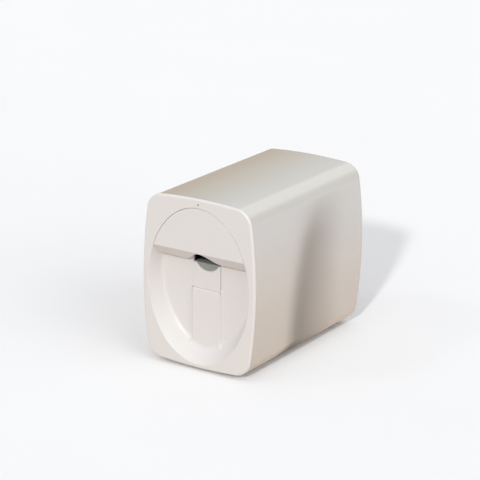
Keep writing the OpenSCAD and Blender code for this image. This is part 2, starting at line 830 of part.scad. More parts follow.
module nail_light_bars() {
    color([0.95, 0.93, 0.80])
        for (x = [-1, 1])
            union() {
                block([x * 18 - 3.5, camera_y - 6, ceiling_z - 1.2], [x * 18 + 3.5, camera_y + 6, ceiling_z]);
                for (y = [-4, 0, 4])
                    block([x * 18 - 1.2, camera_y + y - 1, ceiling_z - 1.9],
                        [x * 18 + 1.2, camera_y + y + 1, ceiling_z - 1.2 + eps]);
            }
}

// Long axis

module long_rods() {
    color(steel)
        for (x = [-1, 1])
            bar_y(x * y_rod_x, y_rod_z, y_rod_r, frame_front, frame_rear + plate_t);
}

module long_rod_bushings() {
    color(brass)
        for (x = [-1, 1])
            difference() {
                bar_y(x * y_rod_x, y_rod_z, y_rod_r + bush_wall, block_y0, back_y);
                bar_y(x * y_rod_x, y_rod_z, y_rod_r + run, block_y0 - 1, back_y + 1);
            }
}

module stage_frame() {
    lug_low = screw_z - 6.5;
    color([0.30, 0.31, 0.33])
        difference() {
            union() {
                for (x = [-1, 1])
                    block([x > 0 ? block_in : -y_rod_x - block_half, block_y0, stage_low],
                        [x > 0 ? y_rod_x + block_half : -block_in, back_y + 2, stage_high]);
                block([-y_rod_x, back_y, stage_low], [y_rod_x, back_y + 2, stage_high]);
                block([-screw_x - 7, back_y, lug_low], [-screw_x + 7, back_y + 2, stage_low + 1]);
            }
            for (x = [-1, 1])
                bar_y(x * y_rod_x, y_rod_z, y_rod_r + bush_wall, block_y0 - 1, back_y + 5);
            for (z = [0, x_rod_pitch])
                bar_x(x_rod_y, x_rod_z + z, x_rod_r, -y_rod_x, y_rod_x);
            bar_y(-screw_x, screw_z, screw_r + 1.5, back_y - 1, back_y + 5);
            bar_y(-pulley_x, pulley_z, motor_shaft_r + 1.5, back_y - 1, back_y + 5);
            bar_y(pulley_x, pulley_z, idler_pin_r, back_y - 1, back_y + 5);
        }
}

module lead_screw() {
    color(steel)
        union() {
            bar_y(-screw_x, screw_z, screw_r, frame_front, screw_y1);
            bar_y(-screw_x, screw_z, 1.5, screw_y1 - eps, frame_rear + plate_t + 3);
        }
}

module front_bearing() {
    color(brass)
        difference() {
            union() {
                bar_y(-screw_x, screw_z, screw_r + 1.5, frame_front, frame_front + plate_t + eps);
                bar_y(-screw_x, screw_z, screw_r + 2.5, frame_front + plate_t, frame_front + plate_t + 1);
            }
            bar_y(-screw_x, screw_z, screw_r + run, frame_front - 1, frame_front + plate_t + 2);
        }
}

module lead_nut() {
    color(brass)
        difference() {
            union() {
                bar_y(-screw_x, screw_z, screw_r + 1.5, back_y - eps, back_y + 8);
                bar_y(-screw_x, screw_z, screw_r + 3.5, back_y - 2, back_y);
            }
            bar_y(-screw_x, screw_z, screw_r + run, back_y - 3, back_y + 9);
        }
}

module long_motor() {
    color(steel)
        difference() {
            union() {
                bar_y(-screw_x, screw_z, y_motor_r, frame_rear + plate_t, frame_rear + plate_t + 20);
                bar_y(-screw_x, screw_z, 3.2, frame_rear + 0.5, frame_rear + plate_t + eps);
                block([-screw_x - 4, frame_rear + plate_t + 13, screw_z - y_motor_r - 3],
                    [-screw_x + 4, frame_rear + plate_t + 19, screw_z]);
            }
            bar_y(-screw_x, screw_z, 1.5 + run, frame_rear, frame_rear + plate_t + 4);
        }
}

// Cross axis

module cross_rods() {
    color(steel)
        for (z = [0, x_rod_pitch])
            bar_x(x_rod_y, x_rod_z + z, x_rod_r, -y_rod_x, y_rod_x);
}

module cross_rod_bushings() {
    color(brass)
        for (x = [-bearing_half, bearing_half - 6], z = [0, x_rod_pitch])
            difference() {
                bar_x(x_rod_y, x_rod_z + z, x_rod_r + 1.2, x, x + 6);
                bar_x(x_rod_y, x_rod_z + z, x_rod_r + run, x - 1, x + 7);
            }
}

module cross_motor() {
    color(steel)
        difference() {
            union() {
                bar_y(-pulley_x, pulley_z, x_motor_r, back_y + 2, back_y + 20);
                bar_y(-pulley_x, pulley_z, motor_shaft_r + 1.5, back_y + 0.5, back_y + 2 + eps);
            }
            bar_y(-pulley_x, pulley_z, motor_shaft_r + run, back_y, back_y + 7);
        }
}

module cross_motor_shaft() {
    color(steel)
        bar_y(-pulley_x, pulley_z, motor_shaft_r, pulley_y - belt_w / 2 - 1, back_y + 6.5);
}

// Flanged pulley: rotate_extrude stands it on Z, then it is laid along Y
module pulley(x, bore) {
    w = belt_w / 2 + 0.25;
    translate([x, pulley_y, pulley_z])
        rotate([90, 0, 0])
            rotate_extrude($fn = 64)
                polygon([
                    [bore, -w - 0.5], [pulley_r + 2, -w - 0.5], [pulley_r + 2, -w], [pulley_r, -w],
                    [pulley_r, w], [pulley_r + 2, w], [pulley_r + 2, w + 0.5], [bore, w + 0.5]
                ]);
}

module drive_pulley() {
    color(steel)
        pulley(-pulley_x, motor_shaft_r);
}

module idler_pulley() {
    color(plastic_white)
        pulley(pulley_x, idler_pin_r + run);
}

module idler_pin() {
    color(steel)
        union() {
            bar_y(pulley_x, pulley_z, idler_pin_r, bearing_back + slip + 0.4, back_y + 2);
            bar_y(pulley_x, pulley_z, idler_pin_r + 1, bearing_back + slip, bearing_back + slip + 0.5);
        }
}

module belt_shape(r) {
    union() {
        square([2 * pulley_x, 2 * r], center = true);
        for (x = [-pulley_x, pulley_x])
            translate([x, 0]) circle(r = r, $fn = 64);
    }
}

module drive_belt() {
    color(dark)
        along_y(pulley_y - belt_w / 2, pulley_y + belt_w / 2)
            translate([0, pulley_z])
                difference() {
                    belt_shape(belt_r + belt_t);
                    belt_shape(belt_r);
                }
}

// Carriage and cartridge

module carriage() {
    in_half = cart_w / 2 + slip;
    floor_z = print_z + nose_h - slip;
    color([0.24, 0.25, 0.27])
        difference() {
            union() {
                for (x = [-1, 1])
                    block([x > 0 ? in_half : -carriage_half, cart_front + 1, carriage_low],
                        [x > 0 ? carriage_half : -in_half, block_front, carriage_high]);
                block([-carriage_half, cart_front + 1, carriage_low], [carriage_half, block_front, floor_z]);
                block([-carriage_half, cart_back + slip, carriage_low],
                    [carriage_half, block_front, carriage_high - 3]);
                block([-bearing_half, block_front - eps, x_rod_z - x_rod_r - 3],
                    [bearing_half, bearing_back, x_rod_z + x_rod_pitch + x_rod_r + 3]);
                for (x = [-1, 1])
                    block([x > 0 ? 9.5 : -12.5, cart_back + slip, carriage_high - 3 - eps],
                        [x > 0 ? 12.5 : -9.5, block_front, latch_z + 2]);
            }
            block([-nose_half - 1, cart_front, carriage_low - 1],
                [nose_half + 1, nozzle_y + nose_l / 2 + 1, floor_z + 1]);
            for (z = [0, x_rod_pitch]) {
                bar_x(x_rod_y, x_rod_z + z, x_rod_r + 0.4, -bearing_half - 1, bearing_half + 1);
                for (x = [-bearing_half - 1, bearing_half - 6])
                    bar_x(x_rod_y, x_rod_z + z, x_rod_r + 1.2, x, x + 7);
            }
            bar_x(latch_y, latch_z, latch_pin_r, -13, 13);
        }
}

module belt_clamp() {
    run_z = pulley_z - belt_r - belt_t / 2;
    color(dark)
        difference() {
            block([-clamp_half, bearing_back, run_z - belt_t / 2 - 1.3],
                [clamp_half, pulley_y + belt_w / 2 + 0.3, run_z + belt_t / 2 + 1.3]);
            block([-clamp_half - 1, pulley_y - belt_w / 2 - slip, run_z - belt_t / 2 - 0.2],
                [clamp_half + 1, pulley_y + belt_w / 2 + 1, run_z + belt_t / 2 + 0.2]);
        }
}

module cartridge() {
    body_z = print_z + nose_h;
    color([0.20, 0.22, 0.26])
        union() {
            block([-cart_w / 2, cart_front, body_z], [cart_w / 2, cart_back, body_z + cart_h]);
            block([-nose_half, nozzle_y - nose_l / 2, print_z], [nose_half, nozzle_y + nose_l / 2, body_z + eps]);
            // Grip rib on the front
            for (z = [8, 11, 14, 17])
                block([-9, cart_front - 0.8, body_z + z], [9, cart_front + eps, body_z + z + 1.2]);
        }
}

module nozzle_plate() {
    color(brass)
        block([-nose_half + 1, nozzle_y - nose_l / 2 + 1, print_z - nozzle_t],
            [nose_half - 1, nozzle_y + nose_l / 2 - 1, print_z]);
}

module cartridge_latch() {
    low = print_z + nose_h + cart_h + slip;
    color([0.85, 0.55, 0.20])
        difference() {
            union() {
                bar_x(latch_y, latch_z, latch_pin_r + 0.9, -9.2, 9.2);
                block([-8.5, latch_y - latch_arm, low], [8.5, latch_y, low + latch_t]);
                block([-8.5, latch_y - latch_arm, low], [8.5, latch_y - latch_arm + 1.6, low + latch_t + 1.8]);
            }
            bar_x(latch_y, latch_z, latch_pin_r + run, -10, 10);
        }
}

module latch_pin() {
    color(steel)
        bar_x(latch_y, latch_z, latch_pin_r, -12.5, 12.5);
}

module cap_bracket() {
    color(steel)
        union() {
            block([-6, nozzle_y + 1, base_top], [6, nozzle_y + 3, print_z - 7]);
            block([-10, nozzle_y - 4, print_z - 7.5], [10, nozzle_y + 4, print_z - 6]);
            block([-6, nozzle_y + 1, base_top], [6, nozzle_y + 9, base_top + plate_t]);
        }
}

module nozzle_cap() {
    color(dark)
        difference() {
            block([-9, nozzle_y - 3.5, print_z - 6], [9, nozzle_y + 3.5, print_z - nozzle_t - 0.3]);
            block([-7.5, nozzle_y - 2.2, print_z - 2], [7.5, nozzle_y + 2.2, print_z]);
        }
}

// Electronics

module main_board() {
    color(green)
        difference() {
            block([-board_w / 2, board_y0, board_z], [board_w / 2, board_y1, board_top]);
            for (x = [-1, 1], y = board_screw_y)
                bar_z(x * (board_w / 2 - 4), y, screw_shank, board_z - 1, board_top + 1);
        }
}

module board_standoffs() {
    color(brass)
        for (x = [-1, 1], y = board_screw_y)
            difference() {
                bar_z(x * (board_w / 2 - 4), y, 2.8, base_top, board_z);
                bar_z(x * (board_w / 2 - 4), y, screw_shank, base_top - 1, board_z + 1);
            }
}

module board_screws() {
    color(steel)
        for (x = [-1, 1], y = board_screw_y)
            union() {
                bar_z(x * (board_w / 2 - 4), y, screw_head, board_top, board_top + head_t, 32);
                bar_z(x * (board_w / 2 - 4), y, screw_shank, base_top + 0.5, board_top + eps, 32);
            }
}

module heat_sink() {
    color([0.5, 0.5, 0.52])
        union() {
            block([-12, board_y0 + 34, board_top], [12, board_y0 + 58, board_top + 2.5]);
            for (i = [0:6])
                block([-12 + i * 3.8, board_y0 + 34, board_top + 2.4],
                    [-10.8 + i * 3.8, board_y0 + 58, board_top + 9]);
        }
}

module board_capacitors() {
    color(dark)
        for (x = [-22, -12, -2])
            bar_z(x, board_y1 - 22, 4, board_top, board_top + 11);
}

module wireless_module() {
    color([0.75, 0.76, 0.78])
        union() {
            block([10, board_y0 + 6, board_top], [24, board_y0 + 24, board_top + 0.8]);
            block([11, board_y0 + 11, board_top + 0.7], [23, board_y0 + 23, board_top + 3]);
        }
}

module power_inlet() {
    color(dark)
        difference() {
            union() {
                block([-port_x - 4.8, panel_y0 - inlet_l, board_top],
                    [-port_x + 4.8, panel_y0 - 0.2, port_z + 4.8]);
                bar_y(-port_x, port_z, inlet_r + 1, panel_y0 - 0.2 - eps, panel_y1 - 0.4);
            }
            bar_y(-port_x, port_z, inlet_r, panel_y1 - 10, panel_y1 + 1);
        }
}

module inlet_pin() {
    color(steel)
        bar_y(-port_x, port_z, inlet_pin_r, panel_y1 - 10, panel_y1 - 1.5);
}

module power_switch() {
    color(dark)
        union() {
            block([port_x - 5, switch_y1 - switch_l, board_top], [port_x + 5, switch_y1, port_z + 5]);
            bar_y(port_x, port_z, 1.5, switch_y1 - eps, switch_y1 + 1.4);
        }
}

module power_button() {
    back = panel_y0 - slip - button_flange;
    color(pearl)
        union() {
            bar_y(port_x, port_z, button_r, back + button_flange - eps, panel_y1 + 1.6);
            bar_y(port_x, port_z, button_r + 1.2, back, back + button_flange);
            bar_y(port_x, port_z, stem_r, switch_y1 + 1.4 + button_travel + 0.3, back + eps);
        }
}

module button_spring() {
    color(steel)
        translate([port_x, 0, port_z])
            rotate([-90, 0, 0])
                coil(button_coil_r, button_wire, switch_y1, panel_y0 - slip - button_flange, 5);
}

// Screws

module front_screws() {
    color(steel)
        for (x = [-1, 1], z = [-1, 1])
            union() {
                bar_y(x * boss_x, mid_z + z * boss_up, screw_head, frame_front + plate_t,
                    frame_front + plate_t + head_t, 32);
                bar_y(x * boss_x, mid_z + z * boss_up, screw_shank, frame_front - grip + 1,
                    frame_front + plate_t + eps, 32);
            }
}

module rear_screws() {
    color(steel)
        for (x = [-1, 1], z = [-1, 1])
            difference() {
                union() {
                    bar_y(x * rear_boss_x, mid_z + z * rear_boss_up, screw_head, panel_y1,
                        panel_y1 + head_t, 32);
                    bar_y(x * rear_boss_x, mid_z + z * rear_boss_up, screw_shank, panel_y0 - grip + 1,
                        panel_y1 + eps, 32);
                }
                for (a = [0, 90])
                    translate([x * rear_boss_x, panel_y1 + head_t, mid_z + z * rear_boss_up])
                        rotate([0, a, 0])
                            cube([3.2, 1.4, 0.7], center = true);
            }
}

module base_screws() {
    color(steel)
        for (x = [-1, 1], y = mount_y)
            union() {
                bar_z(x * mount_x, y, screw_head, foot_h + 1.1, foot_h + 2.6, 32);
                bar_z(x * mount_x, y, screw_shank, foot_h + 2.5, base_top - 0.2, 32);
            }
}

module frame_screws() {
    color(steel)
        for (x = [-1, 1], k = [[base_half - 6, frame_front + tab_screw], [base_half - 3.5, frame_rear + tab_screw]])
            union() {
                bar_z(x * k[0], k[1], screw_head, base_top + plate_t, base_top + plate_t + head_t, 32);
                bar_z(x * k[0], k[1], screw_shank, base_top, base_top + plate_t + eps, 32);
            }
}

outer_sleeve();
front_panel();
rear_panel();
base_plate();
rubber_feet();
hood_cover();
hood_magnets();
keeper_plates();
status_light_pipe();
indicator_board();
front_frame();
rear_frame();
rest_bracket();
rest_guide_rods();
finger_rest();
finger_pad();
rest_spring();
camera_bracket();
camera_module();
camera_lens();
nail_light_bars();
long_rods();
long_rod_bushings();
stage_frame();
lead_screw();
lead_nut();
long_motor();
front_bearing();
cross_rods();
cross_rod_bushings();
cross_motor();
cross_motor_shaft();
drive_pulley();
idler_pulley();
idler_pin();
drive_belt();
carriage();
belt_clamp();
cartridge();
nozzle_plate();
cartridge_latch();
latch_pin();
cap_bracket();
nozzle_cap();
main_board();
board_standoffs();
heat_sink();
board_capacitors();
wireless_module();
power_inlet();
inlet_pin();
power_switch();
power_button();
button_spring();
front_screws();
rear_screws();
base_screws();
frame_screws();
board_screws();
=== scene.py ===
"""Looks of a desk machine that prints on one finger nail: shells, finishes, floor, light and camera.

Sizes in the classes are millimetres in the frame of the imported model, and every mesh is made in metres.
"""

import json
import logging
import math
from collections.abc import Callable
from dataclasses import dataclass, field
from enum import Enum

import bpy
import numpy as np
from mathutils import Matrix, Vector
from mathutils.geometry import delaunay_2d_cdt

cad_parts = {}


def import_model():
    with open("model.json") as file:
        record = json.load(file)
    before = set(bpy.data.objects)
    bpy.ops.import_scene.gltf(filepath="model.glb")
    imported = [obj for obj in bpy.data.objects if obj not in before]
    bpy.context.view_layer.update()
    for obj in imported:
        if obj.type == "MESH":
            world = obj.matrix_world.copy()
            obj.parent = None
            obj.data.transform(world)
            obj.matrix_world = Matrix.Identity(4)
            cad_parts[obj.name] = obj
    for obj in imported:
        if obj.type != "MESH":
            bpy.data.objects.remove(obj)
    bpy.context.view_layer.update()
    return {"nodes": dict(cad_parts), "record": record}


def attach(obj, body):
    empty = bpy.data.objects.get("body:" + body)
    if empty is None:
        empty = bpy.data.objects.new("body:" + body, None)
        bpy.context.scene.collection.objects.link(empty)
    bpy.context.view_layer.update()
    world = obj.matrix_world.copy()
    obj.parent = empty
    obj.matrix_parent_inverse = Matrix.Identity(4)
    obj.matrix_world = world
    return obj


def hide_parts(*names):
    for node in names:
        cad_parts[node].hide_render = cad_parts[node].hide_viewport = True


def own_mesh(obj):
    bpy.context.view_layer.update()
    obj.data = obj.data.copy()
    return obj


MM = 0.001
METRE = 1000.0
FRONT_Y = -85.5
REAR_Y = 85.5
MID_Z = 74.5
TUBE_SIDES = 32
SHARP_TURN = 38.0
LOG = logging.getLogger("nail_printer")

Points = np.ndarray
Lift = Callable[[Points], Points]


# Node trees


def linear(hex_colour: str) -> tuple[float, float, float, float]:
    """Turns an sRGB hex colour into linear RGBA.

    Args:
        hex_colour: six hex digits, with or without a leading #.

    Returns:
        The linear colour with full alpha.
    """
    digits = hex_colour.lstrip("#")
    values = [int(digits[i : i + 2], 16) / 255 for i in (0, 2, 4)]
    red, green, blue = (v / 12.92 if v <= 0.04045 else ((v + 0.055) / 1.055) ** 2.4 for v in values)
    return (red, green, blue, 1.0)


def add_node(
    tree: bpy.types.NodeTree,
    kind: str,
    inputs: dict[str | int, object] | None = None,
    **settings: object,
) -> bpy.types.Node:
    """Adds a node with its settings, and sets or links its inputs.

    Args:
        tree: the node tree that gets the node.
        kind: the node's type, such as ShaderNodeTexNoise.
        inputs: a value, or the output socket to link, for each input named or numbered.
        settings: properties of the node itself.

    Returns:
        The new node.
    """
    node = tree.nodes.new(kind)
    for name, value in settings.items():
        setattr(node, name, value)
    for key, value in (inputs or {}).items():
        socket = node.inputs[key]
        if isinstance(value, bpy.types.NodeSocket):
            tree.links.new(value, socket)
        else:
            socket.default_value = value
    return node


class Pattern(Enum):
    """How the fine structure of a surface is drawn."""

    GRAIN = "grain"  # an even field of small bumps, as spark-eroded moulds and castings leave
    FLAKE = "flake"  # small flat cells, each a shade of its own
    LINES_ROUND = "lines round"  # rings round the piece's length, as turning and grinding leave
    LINES_ALONG = "lines along"  # long drawn or rolled lines
    TRACKS = "tracks"  # copper tracks under solder mask


@dataclass(frozen=True)
class Finish:
    """One real material and how its surface was made.

    The pattern's size and depth are millimetres. Broad is the size of the slow changes of shade over the
    surface, which handling and the mould's flow leave.
    """

    name: str
    colour: str
    second: str
    roughness: float
    pattern: Pattern = Pattern.GRAIN
    size: float = 0.3
    depth: float = 0.01
    metallic: float = 0.0
    ior: float = 1.5
    coat: float = 0.0
    coat_roughness: float = 0.05
    transmission: float = 0.0
    broad: float = 25.0
    broad_mix: float = 0.35
    rough_swing: float = 0.06
    sheen: float = 0.0
    glow: float = 0.0
    anisotropy: float = 0.0

    def build(self) -> bpy.types.Material:
        """Makes the material.

        Returns:
            The node material, made once and used by every piece of this finish.
        """
        found = bpy.data.materials.get(self.name)
        if found is not None:
            return found
        material = bpy.data.materials.new(self.name)
        material.use_nodes = True
        material.diffuse_color = linear(self.colour)
        tree = material.node_tree
        tree.nodes.clear()
        place = add_node(tree, "ShaderNodeTexCoord").outputs["Object"]
        wide = {"Vector": place, "Scale": METRE / self.broad, "Detail": 3.0, "Roughness": 0.55}
        broad = add_node(tree, "ShaderNodeTexNoise", wide).outputs[0]
        fine = self.fine_value(tree, place)
        shade = add_node(tree, "ShaderNodeMath", {0: broad, 1: self.broad_mix}, operation="MULTIPLY")
        sums = {0: fine, 1: 1 - self.broad_mix, 2: shade.outputs[0]}
        both = add_node(tree, "ShaderNodeMath", sums, operation="MULTIPLY_ADD", use_clamp=True)
        shades = {0: both.outputs[0], 6: linear(self.colour), 7: linear(self.second)}
        colour = add_node(tree, "ShaderNodeMix", shades, data_type="RGBA")
        swing = {
            "Value": broad,
            "From Min": 0.3,
            "From Max": 0.7,
            "To Min": max(0.02, self.roughness - self.rough_swing),
            "To Max": min(1.0, self.roughness + self.rough_swing),
        }
        rough = add_node(tree, "ShaderNodeMapRange", swing)
        relief = {"Height": fine, "Distance": self.depth * MM, "Strength": 1.0}
        bump = add_node(tree, "ShaderNodeBump", relief)
        shader = add_node(
            tree,
            "ShaderNodeBsdfPrincipled",
            {
                "Base Color": colour.outputs[2],
                "Roughness": rough.outputs[0],
                "Normal": bump.outputs[0],
                "Metallic": self.metallic,
                "Coat Weight": self.coat,
                "Coat Roughness": self.coat_roughness,
                "Transmission Weight": self.transmission,
                "Sheen Weight": self.sheen,
                "Anisotropic": self.anisotropy,
            },
        )
        if self.metallic < 0.5:
            shader.inputs["IOR"].default_value = self.ior
        if self.glow > 0:
            shader.inputs["Emission Color"].default_value = linear(self.colour)
            shader.inputs["Emission Strength"].default_value = self.glow
        add_node(tree, "ShaderNodeOutputMaterial", {"Surface": shader.outputs[0]})
        return material

    def fine_value(self, tree: bpy.types.NodeTree, place: bpy.types.NodeSocket) -> bpy.types.NodeSocket:
        """Adds the nodes of the fine pattern.

        Args:
            tree: the material's node tree.
            place: the coordinate that the pattern is drawn in, in metres.

        Returns:
            The socket with the pattern's value from 0 to 1.
        """
        scale = METRE / self.size
        if self.pattern is Pattern.GRAIN:
            grains = {"Vector": place, "Scale": scale, "Detail": 2.0}
            return add_node(tree, "ShaderNodeTexNoise", grains).outputs[0]
        if self.pattern is Pattern.FLAKE:
            cells = add_node(tree, "ShaderNodeTexVoronoi", {"Vector": place, "Scale": scale})
            return add_node(tree, "ShaderNodeSeparateColor", {0: cells.outputs["Color"]}).outputs[0]
        if self.pattern is Pattern.TRACKS:
            return self.track_value(tree, place, scale)
        stretch = (0.03, 1.0, 1.0) if self.pattern is Pattern.LINES_ALONG else (1.0, 1.0, 0.05)
        drawn = add_node(tree, "ShaderNodeMapping", {"Vector": place, "Scale": stretch}).outputs[0]
        lines = {"Vector": drawn, "Scale": scale, "Detail": 3.0}
        return add_node(tree, "ShaderNodeTexNoise", lines).outputs[0]

    def track_value(
        self, tree: bpy.types.NodeTree, place: bpy.types.NodeSocket, scale: float
    ) -> bpy.types.NodeSocket:
        """Adds the copper tracks that show as lighter lines through solder mask.

        Args:
            tree: the material's node tree.
            place: the coordinate that the pattern is drawn in, in metres.
            scale: how many tracks lie on a metre.

        Returns:
            The socket that is 1 on a track and 0 beside it.
        """
        fields = {"Vector": place, "Scale": scale / 5, "Randomness": 0.6}
        cells = add_node(tree, "ShaderNodeTexVoronoi", fields, distance="MANHATTAN")
        turns = {"Vector": cells.outputs["Position"], "Scale": scale / 9, "Distortion": 0.0}
        wave = add_node(tree, "ShaderNodeTexWave", turns)
        rows = {"Vector": place, "Scale": scale / 4, "Mortar Size": 0.06, "Mortar Smooth": 0.2}
        lines = add_node(tree, "ShaderNodeTexBrick", rows, offset=0.37)
        tracks = {0: lines.outputs["Fac"], 1: wave.outputs[1]}
        return add_node(tree, "ShaderNodeMath", tracks, operation="MULTIPLY").outputs[0]


# Finishes of the parts that show

# Pearl paint under clear lacquer on ABS: soft mirror of floor and walls, with flakes that shimmer a little.
# The real flakes are near 0.05 mm; they are drawn 0.35 mm wide, so that they show at all.
PEARL_PAINT = Finish(
    "pearl_lacquer_on_abs", "#D7D5D1", "#D0CECA", 0.09, Pattern.FLAKE, 0.35, 0.0,
    metallic=0.5, coat=0.2, coat_roughness=0.07, broad=60, broad_mix=0.5, rough_swing=0.01,
)
# Warm white ABS from a spark-eroded mould: broad soft highlights and a fine even grain.
WHITE_ABS = Finish(
    "white_abs_moulded", "#E4E2DF", "#E0DEDB", 0.4, Pattern.GRAIN, 0.45, 0.006,
    ior=1.53, broad=45, broad_mix=0.6,
)
# The hood comes from another mould: slightly cooler and a little smoother.
HOOD_ABS = Finish(
    "white_abs_hood_moulded", "#E3E2E0", "#DFDDDA", 0.36, Pattern.GRAIN, 0.4, 0.004,
    ior=1.53, broad=50, broad_mix=0.6,
)
# Grey silicone pad, moulded against a blasted core: no mirror, a faint bloom and dust-fine grain.
GREY_SILICONE = Finish(
    "grey_silicone_moulded", "#9B9D97", "#90928C", 0.62, Pattern.GRAIN, 0.5, 0.02,
    ior=1.41, broad=9, broad_mix=0.45, sheen=0.15,
)
# Black rubber of feet, cap and belt: dull, with a light bloom in patches.
BLACK_RUBBER = Finish(
    "black_rubber_moulded", "#232323", "#2E2E2D", 0.72, Pattern.GRAIN, 0.4, 0.02, ior=1.52, broad=6,
)
# Pearl ABS of the power button, polished: one clear highlight.
BUTTON_ABS = Finish(
    "pearl_abs_polished", "#CDCBC6", "#C5C3BE", 0.28, Pattern.GRAIN, 0.3, 0.002, metallic=0.15, coat=0.4,
)
# Smoked polycarbonate of the light pipe: a dark dot while its light is off, with one small highlight.
SMOKED_POLYCARBONATE = Finish(
    "polycarbonate_smoked", "#151413", "#1C1B19", 0.4, Pattern.GRAIN, 0.6, 0.0,
    transmission=0.05, rough_swing=0.02,
)
# Clear polycarbonate of the camera's lens, polished: bright edge and see-through core.
CLEAR_POLYCARBONATE = Finish(
    "polycarbonate_polished", "#EEF2F4", "#E4E9EC", 0.08, Pattern.GRAIN, 0.6, 0.0,
    ior=1.585, transmission=0.85, rough_swing=0.02,
)

# Finishes inside

# Zinc plate on rolled sheet: blue-grey metal with faint rolling lines.
ZINC_SHEET = Finish(
    "zinc_plated_sheet", "#B9BCC0", "#A7ABB0", 0.36, Pattern.LINES_ALONG, 0.5, 0.004, metallic=1.0, broad=14,
)
# Ground and hardened rod: bright metal with fine rings.
GROUND_STEEL = Finish(
    "ground_steel_rod", "#C9CBCE", "#B5B8BC", 0.2, Pattern.LINES_ROUND, 0.25, 0.002,
    metallic=1.0, broad=20, anisotropy=0.4,
)
# Drawn spring wire: darker, with draw lines.
SPRING_WIRE = Finish(
    "drawn_spring_wire", "#9FA1A4", "#87898C", 0.3, Pattern.LINES_ALONG, 0.3, 0.003, metallic=1.0, broad=5,
)
# Screws, zinc plated in a barrel: dull bright metal with small knocks.
BARREL_ZINC = Finish(
    "barrel_zinc_screw", "#A9ABAD", "#8E9093", 0.38, Pattern.GRAIN, 0.4, 0.01, metallic=1.0, broad=3,
)
# Pressed motor can: smooth grey metal.
MOTOR_CAN = Finish(
    "pressed_motor_can", "#A4A7AA", "#94979B", 0.34, Pattern.LINES_ROUND, 0.4, 0.003, metallic=1.0, broad=12,
)
# Nickel plate on sintered magnet: warm mirror.
NICKEL_PLATE = Finish(
    "nickel_plated_magnet", "#CFCBC3", "#C0BBB2", 0.16, Pattern.GRAIN, 0.6, 0.002, metallic=1.0, broad=4,
)
# Cast alloy, blasted and black anodised: satin near-black with a sandy grain.
CAST_ALLOY = Finish(
    "blasted_cast_alloy", "#5E6063", "#505255", 0.5, Pattern.GRAIN, 0.35, 0.02, metallic=0.7, broad=10,
)
# Extruded heat sink, anodised: grey satin with long die lines.
EXTRUDED_ALLOY = Finish(
    "anodised_extrusion", "#8B8D8F", "#7C7E80", 0.4, Pattern.LINES_ALONG, 0.3, 0.006, metallic=0.9, broad=12,
)
# Sintered bronze: brown-gold, full of small pores.
SINTERED_BRONZE = Finish(
    "sintered_bronze", "#B08A4C", "#94713A", 0.42, Pattern.GRAIN, 0.25, 0.02, metallic=1.0, broad=4,
)
# Dark glass-filled plastic: charcoal with a rough dull skin.
DARK_POLYAMIDE = Finish(
    "dark_polyamide_moulded", "#3A3C40", "#2F3134", 0.52, Pattern.GRAIN, 0.4, 0.015, ior=1.53, broad=10,
)
# White acetal, machined: waxy, with a soft shine.
WHITE_ACETAL = Finish(
    "white_acetal_turned", "#E2E2DF", "#D9D9D5", 0.34, Pattern.LINES_ROUND, 0.3, 0.003, ior=1.48, broad=5,
)
# Amber ABS of the latch: strong orange, satin.
AMBER_ABS = Finish(
    "amber_abs_moulded", "#DB9440", "#CE8433", 0.38, Pattern.GRAIN, 0.4, 0.006, ior=1.53, broad=8,
)
# Solder mask over glass fibre: glossy green, with lighter tracks 1.2 mm apart.
SOLDER_MASK = Finish(
    "solder_mask_on_glass_fibre", "#1F6140", "#3C8458", 0.26, Pattern.TRACKS, 1.2, 0.02,
    broad=18, broad_mix=0.15,
)
# White board of the light bars: chalky white, with warm diode windows.
LIGHT_BOARD = Finish(
    "white_light_board", "#F0EEDC", "#E3DDBE", 0.4, Pattern.FLAKE, 3.0, 0.0, broad=8, glow=0.15,
)
# Printed sleeve of the capacitors: dark blue film with a soft shine.
SHRINK_FILM = Finish(
    "shrink_film_on_can", "#2B2D3A", "#23252F", 0.3, Pattern.LINES_ALONG, 0.5, 0.004, ior=1.55, broad=6,
)
# Tinned shield of the radio: bright, slightly clouded metal.
TINNED_SHIELD = Finish(
    "tinned_steel_shield", "#C4C6C9", "#B2B5B8", 0.28, Pattern.GRAIN, 1.2, 0.004, metallic=1.0, broad=5,
)


# Meshes


def rounded(distance: Points, radius: float) -> Points:
    """Depth of a rounded edge at some distance inside it.

    Args:
        distance: distances from the edge, in mm.
        radius: the rounding's radius.

    Returns:
        How far the surface lies back there: the radius at the edge, nothing past the rounding.
    """
    inside = np.clip(radius - distance, 0, radius)
    return radius - np.sqrt(np.maximum(radius * radius - inside * inside, 0))


def soft_min(one: Points, other: Points, width: float) -> Points:
    """Lower of two values, with a fillet where they meet."""
    near = np.maximum(width - np.abs(one - other), 0) / width
    return np.minimum(one, other) - near * near * width / 4


def soft_max(one: Points, other: Points, width: float) -> Points:
    """Higher of two values, with a fillet where they meet."""
    return -soft_min(-one, -other, width)


def arc(centre: tuple[float, float], radius: float, start: float, end: float, count: int) -> Points:
    """Points on an arc.

    Args:
        centre: the arc's centre.
        radius: its radius.
        start: first angle in degrees.
        end: last angle in degrees.
        count: number of points, the last one left out.

    Returns:
        The points, one a row.
    """
    turn = np.radians(start + (end - start) * np.arange(count) / count)
    return np.stack([centre[0] + radius * np.cos(turn), centre[1] + radius * np.sin(turn)], axis=1)


def line(start: tuple[float, float], end: tuple[float, float], step: float = 3.0) -> Points:
    """Evenly spaced points from one point to another, both included."""
    count = max(2, int(math.dist(start, end) / step) + 1)
    return np.linspace(start, end, count)


def behind_front(flat: Points, depth: Points) -> Points:
    """Places points drawn in X and Z in space, at some depth behind the front face."""
    return np.stack([flat[:, 0], FRONT_Y + depth, flat[:, 1]], axis=1)


